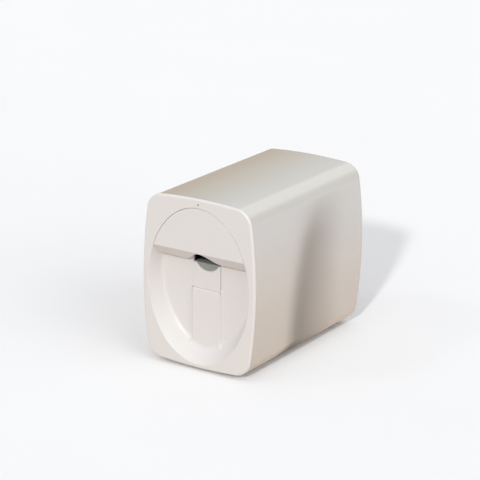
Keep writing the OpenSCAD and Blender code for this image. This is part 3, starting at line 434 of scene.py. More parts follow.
def distance_to(flat: Points, curve: Points) -> Points:
    """Distance of each point to an open line."""
    best = np.full(len(flat), np.inf)
    for a, b in zip(curve[:-1], curve[1:]):
        span = b - a
        share = np.clip((flat - a) @ span / max(float(span @ span), 1e-12), 0, 1)
        best = np.minimum(best, np.linalg.norm(flat - a - share[:, None] * span, axis=1))
    return best


def within(flat: Points, loop: Points) -> np.ndarray:
    """Says which points lie inside a closed line.

    Args:
        flat: the points.
        loop: the line's points, the first one not repeated.

    Returns:
        True for each point that a ray towards +X leaves an odd number of times.
    """
    x, z = flat[:, 0], flat[:, 1]
    inside = np.zeros(len(flat), bool)
    for a, b in zip(loop, np.roll(loop, -1, axis=0)):
        crosses = (a[1] > z) != (b[1] > z)
        rise = b[1] - a[1] if abs(b[1] - a[1]) > 1e-12 else 1e-12
        inside ^= crosses & (x < (b[0] - a[0]) * (z - a[1]) / rise + a[0])
    return inside


@dataclass
class Drawing:
    """Flat drawing of a surface: lines that its edges must follow, and loose points between them."""

    lines: list[tuple[Points, bool]] = field(default_factory=list)
    points: list[Points] = field(default_factory=list)

    def add(self, curve: Points, closed: bool = False) -> None:
        """Adds one line to the drawing."""
        self.lines.append((np.asarray(curve, float), closed))

    def add_where(self, curve: Points, keep: np.ndarray) -> None:
        """Adds only the stretches of a closed line whose points are to be kept.

        Args:
            curve: the line's points.
            keep: true for each point that stays.
        """
        if keep.all():
            self.add(curve, closed=True)
            return
        first = int(np.argmin(keep))
        turned = np.roll(np.arange(len(curve)), -first)
        stretch: list[int] = []
        for index in [*turned, turned[0]]:
            if keep[index]:
                stretch.append(int(index))
                continue
            if len(stretch) > 1:
                self.add(curve[stretch])
            stretch = []

    def faces(self, keep: Callable[[Points], np.ndarray]) -> tuple[Points, np.ndarray]:
        """Fills the drawing with triangles.

        Args:
            keep: says for points which of them lie on the surface.

        Returns:
            The drawing's points and the triangles between them.
        """
        corners: list[Vector] = []
        edges: list[tuple[int, int]] = []
        for curve, closed in self.lines:
            start = len(corners)
            corners += [Vector(p) for p in curve]
            edges += [(start + i, start + i + 1) for i in range(len(curve) - 1)]
            if closed:
                edges.append((len(corners) - 1, start))
        corners += [Vector(p) for group in self.points for p in group]
        same_place, flat_area = 1e-4, 1e-7
        out = delaunay_2d_cdt(corners, edges, [], 0, same_place)
        flat = np.array([tuple(v) for v in out[0]], float)
        triangles = np.array([f for f in out[2] if len(f) == 3], int)
        sides = flat[triangles]
        area = np.cross(sides[:, 1] - sides[:, 0], sides[:, 2] - sides[:, 0])
        triangles = triangles[(np.abs(area) > flat_area) & keep(sides.mean(axis=1))]
        used, index = np.unique(triangles, return_inverse=True)
        return flat[used], index.reshape(-1, 3)


def border(triangles: np.ndarray) -> list[tuple[int, int]]:
    """Edges that only one triangle has, in that triangle's direction."""
    seen: set[tuple[int, int]] = set()
    for a, b, c in triangles.tolist():
        seen |= {(a, b), (b, c), (c, a)}
    return [(a, b) for a, b in seen if (b, a) not in seen]


def slopes(lift: Lift, flat: Points) -> Points:
    """Normals of a lifted surface, from its own formula.

    Args:
        lift: places a point of the drawing in space.
        flat: points of the drawing.

    Returns:
        Unit normals, on the side that the drawing is seen from.
    """
    step = 0.02
    along = lift(flat + [step, 0]) - lift(flat - [step, 0])
    across = lift(flat + [0, step]) - lift(flat - [0, step])
    normal = np.cross(along, across)
    return normal / np.maximum(np.linalg.norm(normal, axis=1, keepdims=True), 1e-12)


class Piece:
    """Collects vertices and faces of one piece, then makes its object."""

    def __init__(self, name: str) -> None:
        """Starts an empty piece with its name."""
        self.name = name
        self.vertices: list[tuple[float, float, float]] = []
        self.faces: list[tuple[int, ...]] = []
        self.normals: list[tuple[float, float, float] | None] = []
        self.smooth: list[bool] = []

    def add(
        self, points: Points, faces: list[tuple[int, ...]], smooth: bool, normals: Points | None = None
    ) -> int:
        """Adds faces.

        Args:
            points: their vertices, in mm.
            faces: indices into those points.
            smooth: whether they are shaded as one curved surface.
            normals: the normal at each point, where it is known.

        Returns:
            The number of the first vertex added.
        """
        start = len(self.vertices)
        self.vertices += [tuple(p) for p in points]
        self.normals += [None] * len(points) if normals is None else [tuple(n) for n in normals]
        self.faces += [tuple(start + i for i in face) for face in faces]
        self.smooth += [smooth] * len(faces)
        return start

    def shell(
        self,
        flat: Points,
        triangles: np.ndarray,
        front: Lift,
        back: Lift,
        open_border: Callable[[Points], np.ndarray] | None = None,
    ) -> None:
        """Adds a wall between two lifted surfaces, closed along its borders.

        Args:
            flat: points of the drawing.
            triangles: the drawing's triangles.
            front: places a point on the side that shows.
            back: places a point on the other side.
            open_border: true for border points where the wall joins itself.
        """
        faces = triangles.tolist()
        start = self.add(front(flat), [tuple(t) for t in faces], True, slopes(front, flat))
        rear = self.add(back(flat), [tuple(t[::-1]) for t in faces], True, -slopes(back, flat))
        joined = np.zeros(len(flat), bool) if open_border is None else open_border(flat)
        walls = [
            (start + b, start + a, rear + a, rear + b)
            for a, b in border(triangles)
            if not (joined[a] and joined[b])
        ]
        self.faces += walls
        self.smooth += [False] * len(walls)

    def tube(self, centre: Points, axis: int, radius: float, bore: float, low: float, high: float) -> None:
        """Adds a bored boss along one axis.

        Args:
            centre: its centre in the two other axes.
            axis: 1 for along Y, 2 for along Z.
            radius: outer radius.
            bore: radius of its hole.
            low: where it starts.
            high: where it ends.
        """
        count = TUBE_SIDES
        ring = arc((0, 0), 1, 0, 360, count)
        rows = []
        for size, place in ((bore, low), (radius, low), (radius, high), (bore, high)):
            flat = ring * size + centre
            depth = np.full((count, 1), place)
            rows.append(
                np.hstack([flat[:, :1], depth, flat[:, 1:]]) if axis == 1 else np.hstack([flat, depth])
            )
        faces = []
        for row in range(4):
            for i in range(count):
                a, b = row * count + i, row * count + (i + 1) % count
                c, d = (row + 1) % 4 * count + i, (row + 1) % 4 * count + (i + 1) % count
                faces.append((a, b, d, c) if axis == 2 else (a, c, d, b))
        self.add(np.vstack(rows), faces, False)

    def make(self, finish: Finish, merge: bool = False) -> bpy.types.Object:
        """Makes the object with its finish.

        Args:
            finish: what it is made of.
            merge: joins vertices that lie on each other.

        Returns:
            The object, in metres, in the scene.
        """
        mesh = bpy.data.meshes.new(self.name)
        mesh.from_pydata([tuple(c * MM for c in v) for v in self.vertices], [], self.faces)
        mesh.polygons.foreach_set("use_smooth", self.smooth)
        mesh.materials.append(finish.build())
        loops = np.zeros(len(mesh.loops), int)
        mesh.loops.foreach_get("vertex_index", loops)
        known = [self.normals[i] or (0.0, 0.0, 0.0) for i in loops]
        for polygon in mesh.polygons:
            if not polygon.use_smooth:
                for loop in polygon.loop_indices:
                    known[loop] = tuple(polygon.normal)
        if any(n is not None for n in self.normals):
            mesh.normals_split_custom_set(known)
        mesh.update()
        piece = bpy.data.objects.new(self.name, mesh)
        bpy.context.scene.collection.objects.link(piece)
        if merge:
            weld = piece.modifiers.new("join_seam", "WELD")
            weld.merge_threshold = 0.001 * MM
        return piece


# The body's outline and the oval recess


@dataclass
class Outline:
    """Body outline in X and Z: bulged sides and ends with round corners."""

    width: float = 110.0
    height: float = 145.0
    side_radius: float = 396.0
    end_radius: float = 466.0
    corner_radius: float = 15.0
    side_points: int = 36
    corner_points: int = 28

    def __post_init__(self) -> None:
        """Finds the corner arcs that touch a side and an end from inside."""
        self.side_centre = self.width / 2 - self.side_radius
        self.end_centre = self.height / 2 - self.end_radius
        gap = math.hypot(self.side_centre, self.end_centre)
        reach_side = self.side_radius - self.corner_radius
        reach_end = self.end_radius - self.corner_radius
        along = (reach_side**2 - reach_end**2 + gap**2) / (2 * gap)
        off = math.sqrt(reach_side**2 - along**2)
        self.corner_x = self.side_centre - along * self.side_centre / gap - off * self.end_centre / gap
        self.corner_z = along * self.end_centre / gap - off * self.side_centre / gap
        self.side_turn = math.degrees(math.atan2(self.corner_z, self.corner_x - self.side_centre))
        self.end_turn = math.degrees(math.atan2(self.corner_z - self.end_centre, self.corner_x))

    def points(self, inset: float = 0.0) -> Points:
        """Points round the outline, moved in by some distance.

        Args:
            inset: how far inside the outline.

        Returns:
            The closed line in X and Z.
        """
        side, corner = self.side_points, self.corner_points
        s, t, x, z = self.side_turn, self.end_turn, self.corner_x, self.corner_z
        flat, end, bend = self.side_radius - inset, self.end_radius - inset, self.corner_radius - inset
        parts = [
            arc((self.side_centre, 0), flat, -s, s, side),
            arc((x, z), bend, s, t, corner),
            arc((0, self.end_centre), end, t, 180 - t, side),
            arc((-x, z), bend, 180 - t, 180 - s, corner),
            arc((-self.side_centre, 0), flat, 180 - s, 180 + s, side),
            arc((-x, -z), bend, 180 + s, 180 + t, corner),
            arc((0, -self.end_centre), end, 180 + t, 360 - t, side),
            arc((x, -z), bend, 360 - t, 360 - s, corner),
        ]
        return np.vstack(parts) + [0, MID_Z]

    def inside(self, flat: Points) -> Points:
        """Distance of points inside the outline, negative outside it."""
        x, z = np.abs(flat[:, 0]), np.abs(flat[:, 1] - MID_Z)
        side = self.side_radius - np.hypot(x - self.side_centre, z)
        end = self.end_radius - np.hypot(x, z - self.end_centre)
        corner = self.corner_radius - np.hypot(x - self.corner_x, z - self.corner_z)
        turn = np.degrees(np.arctan2(z - self.corner_z, x - self.corner_x))
        at_corner = (turn > self.side_turn) & (turn < self.end_turn)
        return np.where(at_corner, corner, np.minimum(side, end))


@dataclass
class Recess:
    """Oval recess: its wall leans in down to the floor, most at the bottom."""

    half_width: float = 49.5
    half_height: float = 67.0
    centre_z: float = 72.5
    depth: float = 13.8
    draft_side: float = 4.9
    draft_low: float = 12.7

    def ring(self, share: float, grow: float = 0.0, count: int = 220) -> Points:
        """Ring of the wall at some share of the depth, or outside it.

        Args:
            share: 0 at the face and 1 at the floor.
            grow: how far outside the ring.
            count: number of points.

        Returns:
            The closed line in X and Z.
        """
        turn = np.radians(360 * np.arange(count) / count)
        low = self.draft_low / 2 * share
        a, b = self.half_width - self.draft_side * share, self.half_height - low
        x, z = a * np.cos(turn), b * np.sin(turn)
        out = np.stack([x / a**2, z / b**2], axis=1)
        out /= np.linalg.norm(out, axis=1, keepdims=True)
        return np.stack([x, z + self.centre_z + low], axis=1) + out * grow

    def beyond(self, flat: Points) -> Points:
        """Distance of points outside the recess's rim, negative inside it."""
        x, z = flat[:, 0], flat[:, 1] - self.centre_z
        a, b = self.half_width, self.half_height
        ratio = np.sqrt((x / a) ** 2 + (z / b) ** 2)
        slope = np.sqrt((x / a**2) ** 2 + (z / b**2) ** 2)
        return (ratio - 1) * ratio / np.maximum(slope, 1e-9)

    def wall_depth(self, flat: Points) -> Points:
        """Depth of the leaning wall over points, past its ends too.

        Args:
            flat: points in X and Z.

        Returns:
            The depth in mm, negative outside the rim and deep past the floor's edge.
        """
        x, z = flat[:, 0], flat[:, 1] - self.centre_z
        low, high = np.full(len(flat), -0.6), np.full(len(flat), 1.9)
        lift = self.draft_low / 2
        halvings = 34
        for _ in range(halvings):
            share = (low + high) / 2
            a = self.half_width - self.draft_side * share
            b = self.half_height - lift * share
            past = (x / a) ** 2 + ((z - lift * share) / b) ** 2 > 1
            high = np.where(past, share, high)
            low = np.where(past, low, share)
        return (low + high) / 2 * self.depth

    def half_at(self, depth: Points, z: Points) -> Points:
        """Half width of the recess at some depth and height."""
        share = np.clip(depth / self.depth, 0, 1)
        a = self.half_width - self.draft_side * share
        b = self.half_height - self.draft_low / 2 * share
        up = (z - self.centre_z - self.draft_low / 2 * share) / b
        return a * np.sqrt(np.maximum(1 - up * up, 0))


@dataclass
class Shells:
    """Sizes that the shells share."""

    outline: Outline = field(default_factory=Outline)
    recess: Recess = field(default_factory=Recess)
    hood_edge_z: float = 101.2
    lip_z: float = 92.1
    sill_z: float = 97.1
    pocket_z: float = 101.7
    ledge_z: float = 67.1
    tongue_half: float = 13.6
    magnet_x: float = 28.861
    magnet_z: float = 120.301
    boss_x: float = 41.65
    boss_up: float = 62.3
    light_z: float = 142.5


@dataclass
class OuterSleeve:
    """Pearl sleeve with a rounded rear rim and the four screw recesses in its bottom."""

    shells: Shells
    front: float = FRONT_Y + 2.2
    rear: float = REAR_Y
    wall: float = 2.0
    rim_radius: float = 0.8
    front_radius: float = 0.25
    inner_share: float = 0.6
    bore: float = 2.9
    bore_x: float = 30.0
    bore_y: float = 48.5

    def build(self) -> bpy.types.Object:
        """Makes the sleeve.

        Returns:
            The sleeve's object, which stands for the CAD sleeve.
        """
        ring = self.shells.outline.points()
        start = int(np.argmin(np.hypot(ring[:, 0], ring[:, 1])))
        ring = np.roll(ring, -start, axis=0)
        closed = np.vstack([ring, ring[:1]])
        along = np.concatenate([[0], np.cumsum(np.linalg.norm(np.diff(closed, axis=0), axis=1))])
        total = float(along[-1])

        def read(s: Points) -> Points:
            turned = np.mod(s, total)
            return np.stack([np.interp(turned, along, closed[:, axis]) for axis in (0, 1)], axis=1)

        def outline_at(inset: Points, s: Points) -> Points:
            step = 0.05
            place, ahead = read(s), read(s + step) - read(s - step)
            inward = ahead[:, ::-1] * [-1, 1] / np.maximum(np.hypot(*ahead.T), 1e-9)[:, None]
            return place + inward * inset[:, None]

        def edge(y: Points) -> Points:
            rear = rounded(self.rear - y, self.rim_radius)
            return rear + rounded(y - self.front, self.front_radius)

        def outer(flat: Points) -> Points:
            return np.insert(outline_at(edge(flat[:, 1]), flat[:, 0]), 1, flat[:, 1], axis=1)

        def inner(flat: Points) -> Points:
            inset = self.wall - edge(flat[:, 1]) * self.inner_share
            return np.insert(outline_at(inset, flat[:, 0]), 1, flat[:, 1], axis=1)

        drawing = Drawing()
        rows = [self.front + ahead for ahead in (0, 0.08, 0.25, 0.5)]
        rows += [*np.linspace(self.front + 12, self.rear - 12, 9)]
        rows += [self.rear - behind for behind in (1.0, 0.8, 0.5, 0.3, 0.15, 0.05, 0)]
        for y in rows:
            drawing.add(np.stack([along, np.full(len(along), y)], axis=1))
        drawing.add(line((0, self.front), (0, self.rear), 8))
        drawing.add(line((total, self.front), (total, self.rear), 8))
        holes = [(x, y) for x in (total - self.bore_x, self.bore_x) for y in (-self.bore_y, self.bore_y)]
        for hole in holes:
            for radius in (self.bore, self.bore + 0.4):
                drawing.add(arc(hole, radius, 0, 360, TUBE_SIDES), closed=True)

        def keep(flat: Points) -> np.ndarray:
            good = (flat[:, 0] > 0) & (flat[:, 0] < total)
            good &= (flat[:, 1] > self.front) & (flat[:, 1] < self.rear)
            for hole in holes:
                good &= np.hypot(flat[:, 0] - hole[0], flat[:, 1] - hole[1]) > self.bore
            return good

        flat, triangles = drawing.faces(keep)
        piece = Piece("sleeve_shell")
        piece.shell(
            flat, triangles, outer, inner,
            lambda points: (points[:, 0] < 1e-3) | (points[:, 0] > total - 1e-3),
        )
        return piece.make(PEARL_PAINT, merge=True)


@dataclass
class FrontPanel:
    """White front: rounded edge, bezel, leaning wall, floor, tongue with its ledge, and the hood's pocket."""

    shells: Shells
    edge_radius: float = 1.5
    rim_round: float = 0.7
    floor_round: float = 3.4
    tongue_depth: float = 11.3
    tongue_edge: float = 1.0
    tongue_side: float = 0.9
    ledge_round: float = 1.6
    ledge_fillet: float = 0.3
    tongue_low: float = 17.5
    flare: float = 6.0
    pocket_depth: float = 10.7
    pocket_round: float = 0.3
    seat_depth: float = 11.9
    seat_radius: float = 3.5
    island: float = 5.0
    ledge_width: float = 8.0
    light_radius: float = 0.65
    flange: float = 2.2
    spigot_in: float = 2.2
    spigot_wall: float = 1.6
    spigot_depth: float = 19.0
    boss_radius: float = 3.0
    boss_bore: float = 1.4
    boss_start: float = 1.5
    wall: float = 1.8
    step: float = 0.1

    def tongue_distance(self, flat: Points) -> Points:
        """Distance of points outside the tongue seen from the front, negative on it."""
        x, z = np.abs(flat[:, 0]), flat[:, 1]
        half, top = self.shells.tongue_half, self.shells.ledge_z
        centre = half + self.flare
        bend = self.tongue_low + self.flare
        side = x - half
        foot = self.flare - np.hypot(x - centre, z - bend)
        foot = np.where(x > centre, np.maximum(foot, 3.0), foot)
        value = np.where(z < bend, foot, side)
        return np.where(z > top, np.hypot(np.maximum(side, 0), z - top), value)

    def tongue_profile(self, out: Points) -> Points:
        """Depth of face, edge, side and base fillet of the tongue, by the distance outside it."""
        deep, edge, side = self.shells.recess.depth, self.tongue_edge, self.tongue_side
        face = self.tongue_depth + rounded(-out, edge)
        upright = self.tongue_depth + edge + (out / side) * (deep - self.tongue_depth - 2 * edge)
        fillet = np.clip(out, side, side + edge) - side - edge
        base = deep - edge + np.sqrt(np.maximum(edge**2 - fillet**2, 0))
        return np.where(out < 0, face, np.where(out < side, upright, base))

    def front_depth(self, flat: Points) -> Points:
        """Depth of the front surface behind the front face.

        Args:
            flat: points in X and Z.

        Returns:
            The depth of each, in mm.
        """
        shells, recess = self.shells, self.shells.recess
        x, z = flat[:, 0], flat[:, 1]
        relief = self.tongue_profile(self.tongue_distance(flat))
        on_tongue = (np.abs(x) < shells.tongue_half + 0.5) & (z <= shells.ledge_z)
        ledge = self.tongue_depth + rounded(shells.ledge_z - z, self.ledge_round)
        relief = np.where(on_tongue, soft_max(relief, ledge, self.ledge_fillet), relief)
        bowl = soft_min(relief, recess.wall_depth(flat), self.floor_round)
        bowl = soft_max(bowl, np.zeros(len(flat)), self.rim_round)
        beyond = recess.beyond(flat)
        drop = np.clip(-beyond / self.step, 0, 1)
        edge = self.pocket_round
        cut = edge + (self.pocket_depth - edge) * drop
        pocket = rounded(beyond, edge) * (beyond >= 0) + cut * (beyond < 0)
        from_magnet = np.hypot(np.abs(x) - shells.magnet_x, z - shells.magnet_z)
        seat = np.clip((self.seat_radius - from_magnet) / self.step + 1, 0, 1)
        pocket = pocket + (self.seat_depth - self.pocket_depth) * seat * (beyond < -self.step)
        share = np.clip((z - shells.pocket_z) / self.step, 0, 1)
        depth = bowl * (1 - share) + pocket * share
        return depth + rounded(shells.outline.inside(flat), self.edge_radius)

    def back_depth(self, flat: Points) -> Points:
        """Depth of the rear surface: flange, spigot, then the wall behind the front surface."""
        inside = self.shells.outline.inside(flat)
        end = self.spigot_in + self.spigot_wall
        behind = self.front_depth(flat) + self.wall
        spigot = np.where(inside < self.spigot_in + 0.005, self.flange, self.spigot_depth)
        return np.where(inside > end - 0.005, behind, spigot)

    def drawing(self) -> Drawing:
        """Lines that the panel's edges and roundings follow."""
        shells, recess = self.shells, self.shells.recess
        drawing = Drawing()
        end = self.spigot_in + self.spigot_wall
        insets = (0, 0.05, 0.15, 0.3, 0.5, 0.8, 1.15, 1.5, 1.8, 2.2, 2.22, end - 0.02, end, end + 0.5)
        for inset in insets:
            drawing.add(shells.outline.points(inset), closed=True)
        for grow in (0.35, 0.3, 0.2, 0.1, 0.04, 0, -0.05, -0.1, -0.6):
            ring = recess.ring(0, grow)
            drawing.add_where(ring, ring[:, 1] > shells.pocket_z - 0.3)
        shares = [
            -0.05, -0.035, -0.02, -0.01, 0, 0.01, 0.025, 0.04, 0.055, 0.08, 0.15, 0.25, 0.38, 0.5, 0.62, 0.72,
            0.78, 0.82, 0.86, 0.9, 0.94, 0.98, 1.02, 1.06, 1.1, 1.15, 1.22, 1.3,
        ]
        for share in shares:
            ring = recess.ring(share)
            drawing.add_where(ring, ring[:, 1] < shells.pocket_z + 0.2)
        half = recess.half_width
        for z in (shells.pocket_z, shells.pocket_z + self.step):
            drawing.add(line((-half, z), (half, z)))
        inner = recess.ring(0, -self.ledge_width)
        drawing.add_where(inner, inner[:, 1] > shells.sill_z - 1)
        drawing.add(line((-half, shells.sill_z), (half, shells.sill_z)))
        for sign in (-1, 1):
            magnet = (sign * shells.magnet_x, shells.magnet_z)
            for radius in (self.seat_radius, self.seat_radius + self.step, self.island):
                drawing.add(arc(magnet, radius, 0, 360, 40), closed=True)
            self.tongue_lines(drawing, sign)
        slot, slot_top = shells.tongue_half, shells.sill_z + 1
        for z in (shells.ledge_z, slot_top):
            drawing.add(line((-slot, z), (slot, z)))
        for x in (-slot, slot):
            drawing.add(line((x, shells.ledge_z), (x, slot_top)))
        for down in (0.08, 0.2, 0.4, 0.7, 1.1, 1.6, 2.2):
            z = shells.ledge_z - down
            drawing.add(line((-slot, z), (slot, z)))
        for radius in (self.light_radius, self.light_radius + 0.3):
            drawing.add(arc((0, shells.light_z), radius, 0, 360, 24), closed=True)
        grid = [(x, z) for x in np.arange(-44, 45, 4) for z in np.arange(14, 98, 4)]
        drawing.points.append(np.array(grid, float))
        return drawing

    def tongue_lines(self, drawing: Drawing, sign: int) -> None:
        """Lines beside one edge of the tongue, down its side and round its flared foot.

        Args:
            drawing: gets the lines.
            sign: 1 for the right edge and -1 for the left one.
        """
        half, top = self.shells.tongue_half, self.shells.ledge_z
        bend = self.tongue_low + self.flare
        for out in (-1.3, -1.0, -0.75, -0.5, -0.25, -0.1, 0, 0.3, 0.6, 0.9, 1.0, 1.15, 1.4, 1.65, 1.9, 2.2):
            foot = arc((half + self.flare, bend), self.flare - out, 180, 262, 14)
            side = line((half + out, top), (half + out, bend + 0.4), 3)
            curve = np.vstack([side, foot])
            if out > 0:
                curve = np.vstack([arc((half, top), out, 90, 0, 6), curve])
            drawing.add(curve * [sign, 1])

    def keep(self, flat: Points) -> np.ndarray:
        """Says which points lie on the panel, and not in an opening.

        Args:
            flat: points in X and Z.

        Returns:
            True for each point on the panel.
        """
        shells = self.shells
        x, z = np.abs(flat[:, 0]), flat[:, 1]
        good = shells.outline.inside(flat) > 0
        slot = (x < shells.tongue_half) & (z > shells.ledge_z) & (z < shells.sill_z + 1)
        bay = (shells.recess.beyond(flat) < -self.ledge_width) & (z > shells.sill_z)
        bay &= np.hypot(x - shells.magnet_x, z - shells.magnet_z) > self.island
        light = np.hypot(x, z - shells.light_z) < self.light_radius
        return good & ~slot & ~bay & ~light

    def build(self) -> bpy.types.Object:
        """Makes the panel.

        Returns:
            The panel's object, which stands for the CAD panel.
        """
        flat, triangles = self.drawing().faces(self.keep)
        piece = Piece("front_panel_shell")
        piece.shell(
            flat, triangles,
            lambda points: behind_front(points, self.front_depth(points)),
            lambda points: behind_front(points, self.back_depth(points)),
        )
        start, end = FRONT_Y + self.boss_start, FRONT_Y + self.spigot_depth
        for up in (-self.shells.boss_up, self.shells.boss_up):
            for x in (-self.shells.boss_x, self.shells.boss_x):
                piece.tube(np.array([x, MID_Z + up]), 1, self.boss_radius, self.boss_bore, start, end)
        return piece.make(WHITE_ABS)


@dataclass
class HoodCover:
    """Pull-off hood: flat face, bevel, deep lip, bell notch for the finger, skirt with its magnet bosses."""

    shells: Shells
    gap: float = 0.3
    wall: float = 2.0
    bevel: float = 8.2
    skirt: float = 10.5
    lip_depth: float = 13.5
    lip_tall: float = 2.5
    notch_half: float = 18.0
    notch_rise: float = 8.4
    rim_round: float = 0.25
    notch_round: float = 0.35
    edge_soft: float = 0.5
    magnet_radius: float = 3.0
    magnet_thick: float = 2.0
    bevel_wall: float = 1.35
    lip_slope: float = 1.5
    ring_points: int = 260
    blind: float = 0.01

    def face_depth(self, z: Points) -> Points:
        """Depth of face and bevel by height."""
        shells = self.shells
        slope = self.bevel / (shells.hood_edge_z - shells.lip_z)
        return soft_max(np.zeros(len(z)), (shells.hood_edge_z - z) * slope, self.edge_soft)

    def notch_z(self, x: Points) -> Points:
        """Height of the hood's lower border by X."""
        rise = 0.5 + 0.5 * np.cos(np.pi * np.clip(x / self.notch_half, -1, 1))
        return self.shells.lip_z + self.notch_rise * rise

    def outer_border(self) -> Points:
        """The hood's border against the recess, from the right lip end over the top to the left one."""
        shells, recess = self.shells, self.shells.recess
        low = np.linspace(shells.lip_z, shells.pocket_z, 16)[:-1]
        half = recess.half_at(self.face_depth(low), low) - self.gap
        right = np.stack([half, low], axis=1)
        ring = recess.ring(0, -self.gap, self.ring_points)
        ring = ring[ring[:, 1] > shells.pocket_z]
        turn = np.arctan2(ring[:, 1] - recess.centre_z, ring[:, 0])
        ring = ring[np.argsort(turn)]
        return np.vstack([right, ring, (right * [-1, 1])[::-1]])

    def lower_border(self) -> Points:
        """The hood's lower border with the bell notch, from left to right."""
        half = float(self.outer_border()[0, 0])
        bell = np.linspace(-self.notch_half, self.notch_half, 61)
        left = np.linspace(-half, -self.notch_half, 12)[:-1]
        x = np.concatenate([left, bell, -left[::-1]])
        return np.stack([x, self.notch_z(x)], axis=1)

    def front(self, flat: Points) -> Points:
        """Places points on the side that shows: face, bevel and the roundings along the two borders."""
        depth = self.face_depth(flat[:, 1])
        depth = depth + rounded(distance_to(flat, self.outer_border()), self.rim_round)
        return behind_front(flat, depth + rounded(distance_to(flat, self.lower_border()), self.notch_round))

    def back(self, flat: Points) -> Points:
        """Places points on the rear side: the wall behind face and bevel, the lip and the skirt."""
        shells, recess = self.shells, self.shells.recess
        x, z = flat[:, 0], flat[:, 1]
        up = z - shells.lip_z
        depth = self.face_depth(z) + self.wall * np.where(z < shells.hood_edge_z, self.bevel_wall, 1.0)
        lip = np.clip(self.lip_depth - self.lip_slope * (up - 0.5), self.skirt, self.lip_depth)
        depth = np.where(up < self.lip_tall - 0.005, np.maximum(depth, lip), depth)
        near = (recess.beyond(flat) > -self.gap - self.wall + 0.005) & (z > shells.pocket_z)
        depth = np.where(near, self.skirt, depth)
        limit = recess.half_at(depth, z) - self.gap
        x = np.where(z < shells.pocket_z - 0.01, np.clip(x, -limit, limit), x)
        return behind_front(np.stack([x, z], axis=1), depth)

    def drawing(self, loop: Points) -> Drawing:
        """Lines that the hood's edges and roundings follow.

        Args:
            loop: the hood's whole border.

        Returns:
            The drawing in X and Z.
        """
        shells, recess = self.shells, self.shells.recess
        drawing = Drawing()
        drawing.add(loop, closed=True)
        out = np.roll(loop, -1, axis=0) - np.roll(loop, 1, axis=0)
        out = np.stack([out[:, 1], -out[:, 0]], axis=1)
        out /= np.linalg.norm(out, axis=1, keepdims=True)
        for distance in (0.03, 0.1, 0.2, 0.35, 0.5, 0.8):
            drawing.add(loop - out * distance, closed=True)
        for grow in (-self.wall, -self.wall - 0.02):
            ring = recess.ring(0, grow - self.gap, self.ring_points)
            drawing.add_where(ring, ring[:, 1] > shells.pocket_z)
        edge, lip_top = shells.hood_edge_z, shells.lip_z + self.lip_tall
        heights = [edge + up for up in (0.6, 0.3, 0, -0.15, -0.3, -0.6, -1.2, -3, -5, 6, 14, 24, 33)]
        for z in [*heights, shells.pocket_z, lip_top, lip_top - 0.02, shells.lip_z + 0.5]:
            drawing.add(line((-recess.half_width, z), (recess.half_width, z), 4))
        return drawing

    def build(self) -> bpy.types.Object:
        """Makes the hood.

        Returns:
            The hood's object, which stands for the CAD hood.
        """
        shells = self.shells
        loop = np.vstack([self.outer_border(), self.lower_border()[1:-1]])
        flat, triangles = self.drawing(loop).faces(lambda points: within(points, loop))
        piece = Piece("hood_shell")
        piece.shell(flat, triangles, self.front, self.back)
        seat, rear = FRONT_Y + self.skirt - self.magnet_thick, FRONT_Y + self.skirt
        for x in (-shells.magnet_x, shells.magnet_x):
            centre = np.array([x, shells.magnet_z])
            piece.tube(centre, 1, self.magnet_radius + 1, self.magnet_radius, seat, rear)
            piece.tube(centre, 1, self.magnet_radius + 1, self.blind, FRONT_Y + 1.5, seat)
        return piece.make(HOOD_ABS)


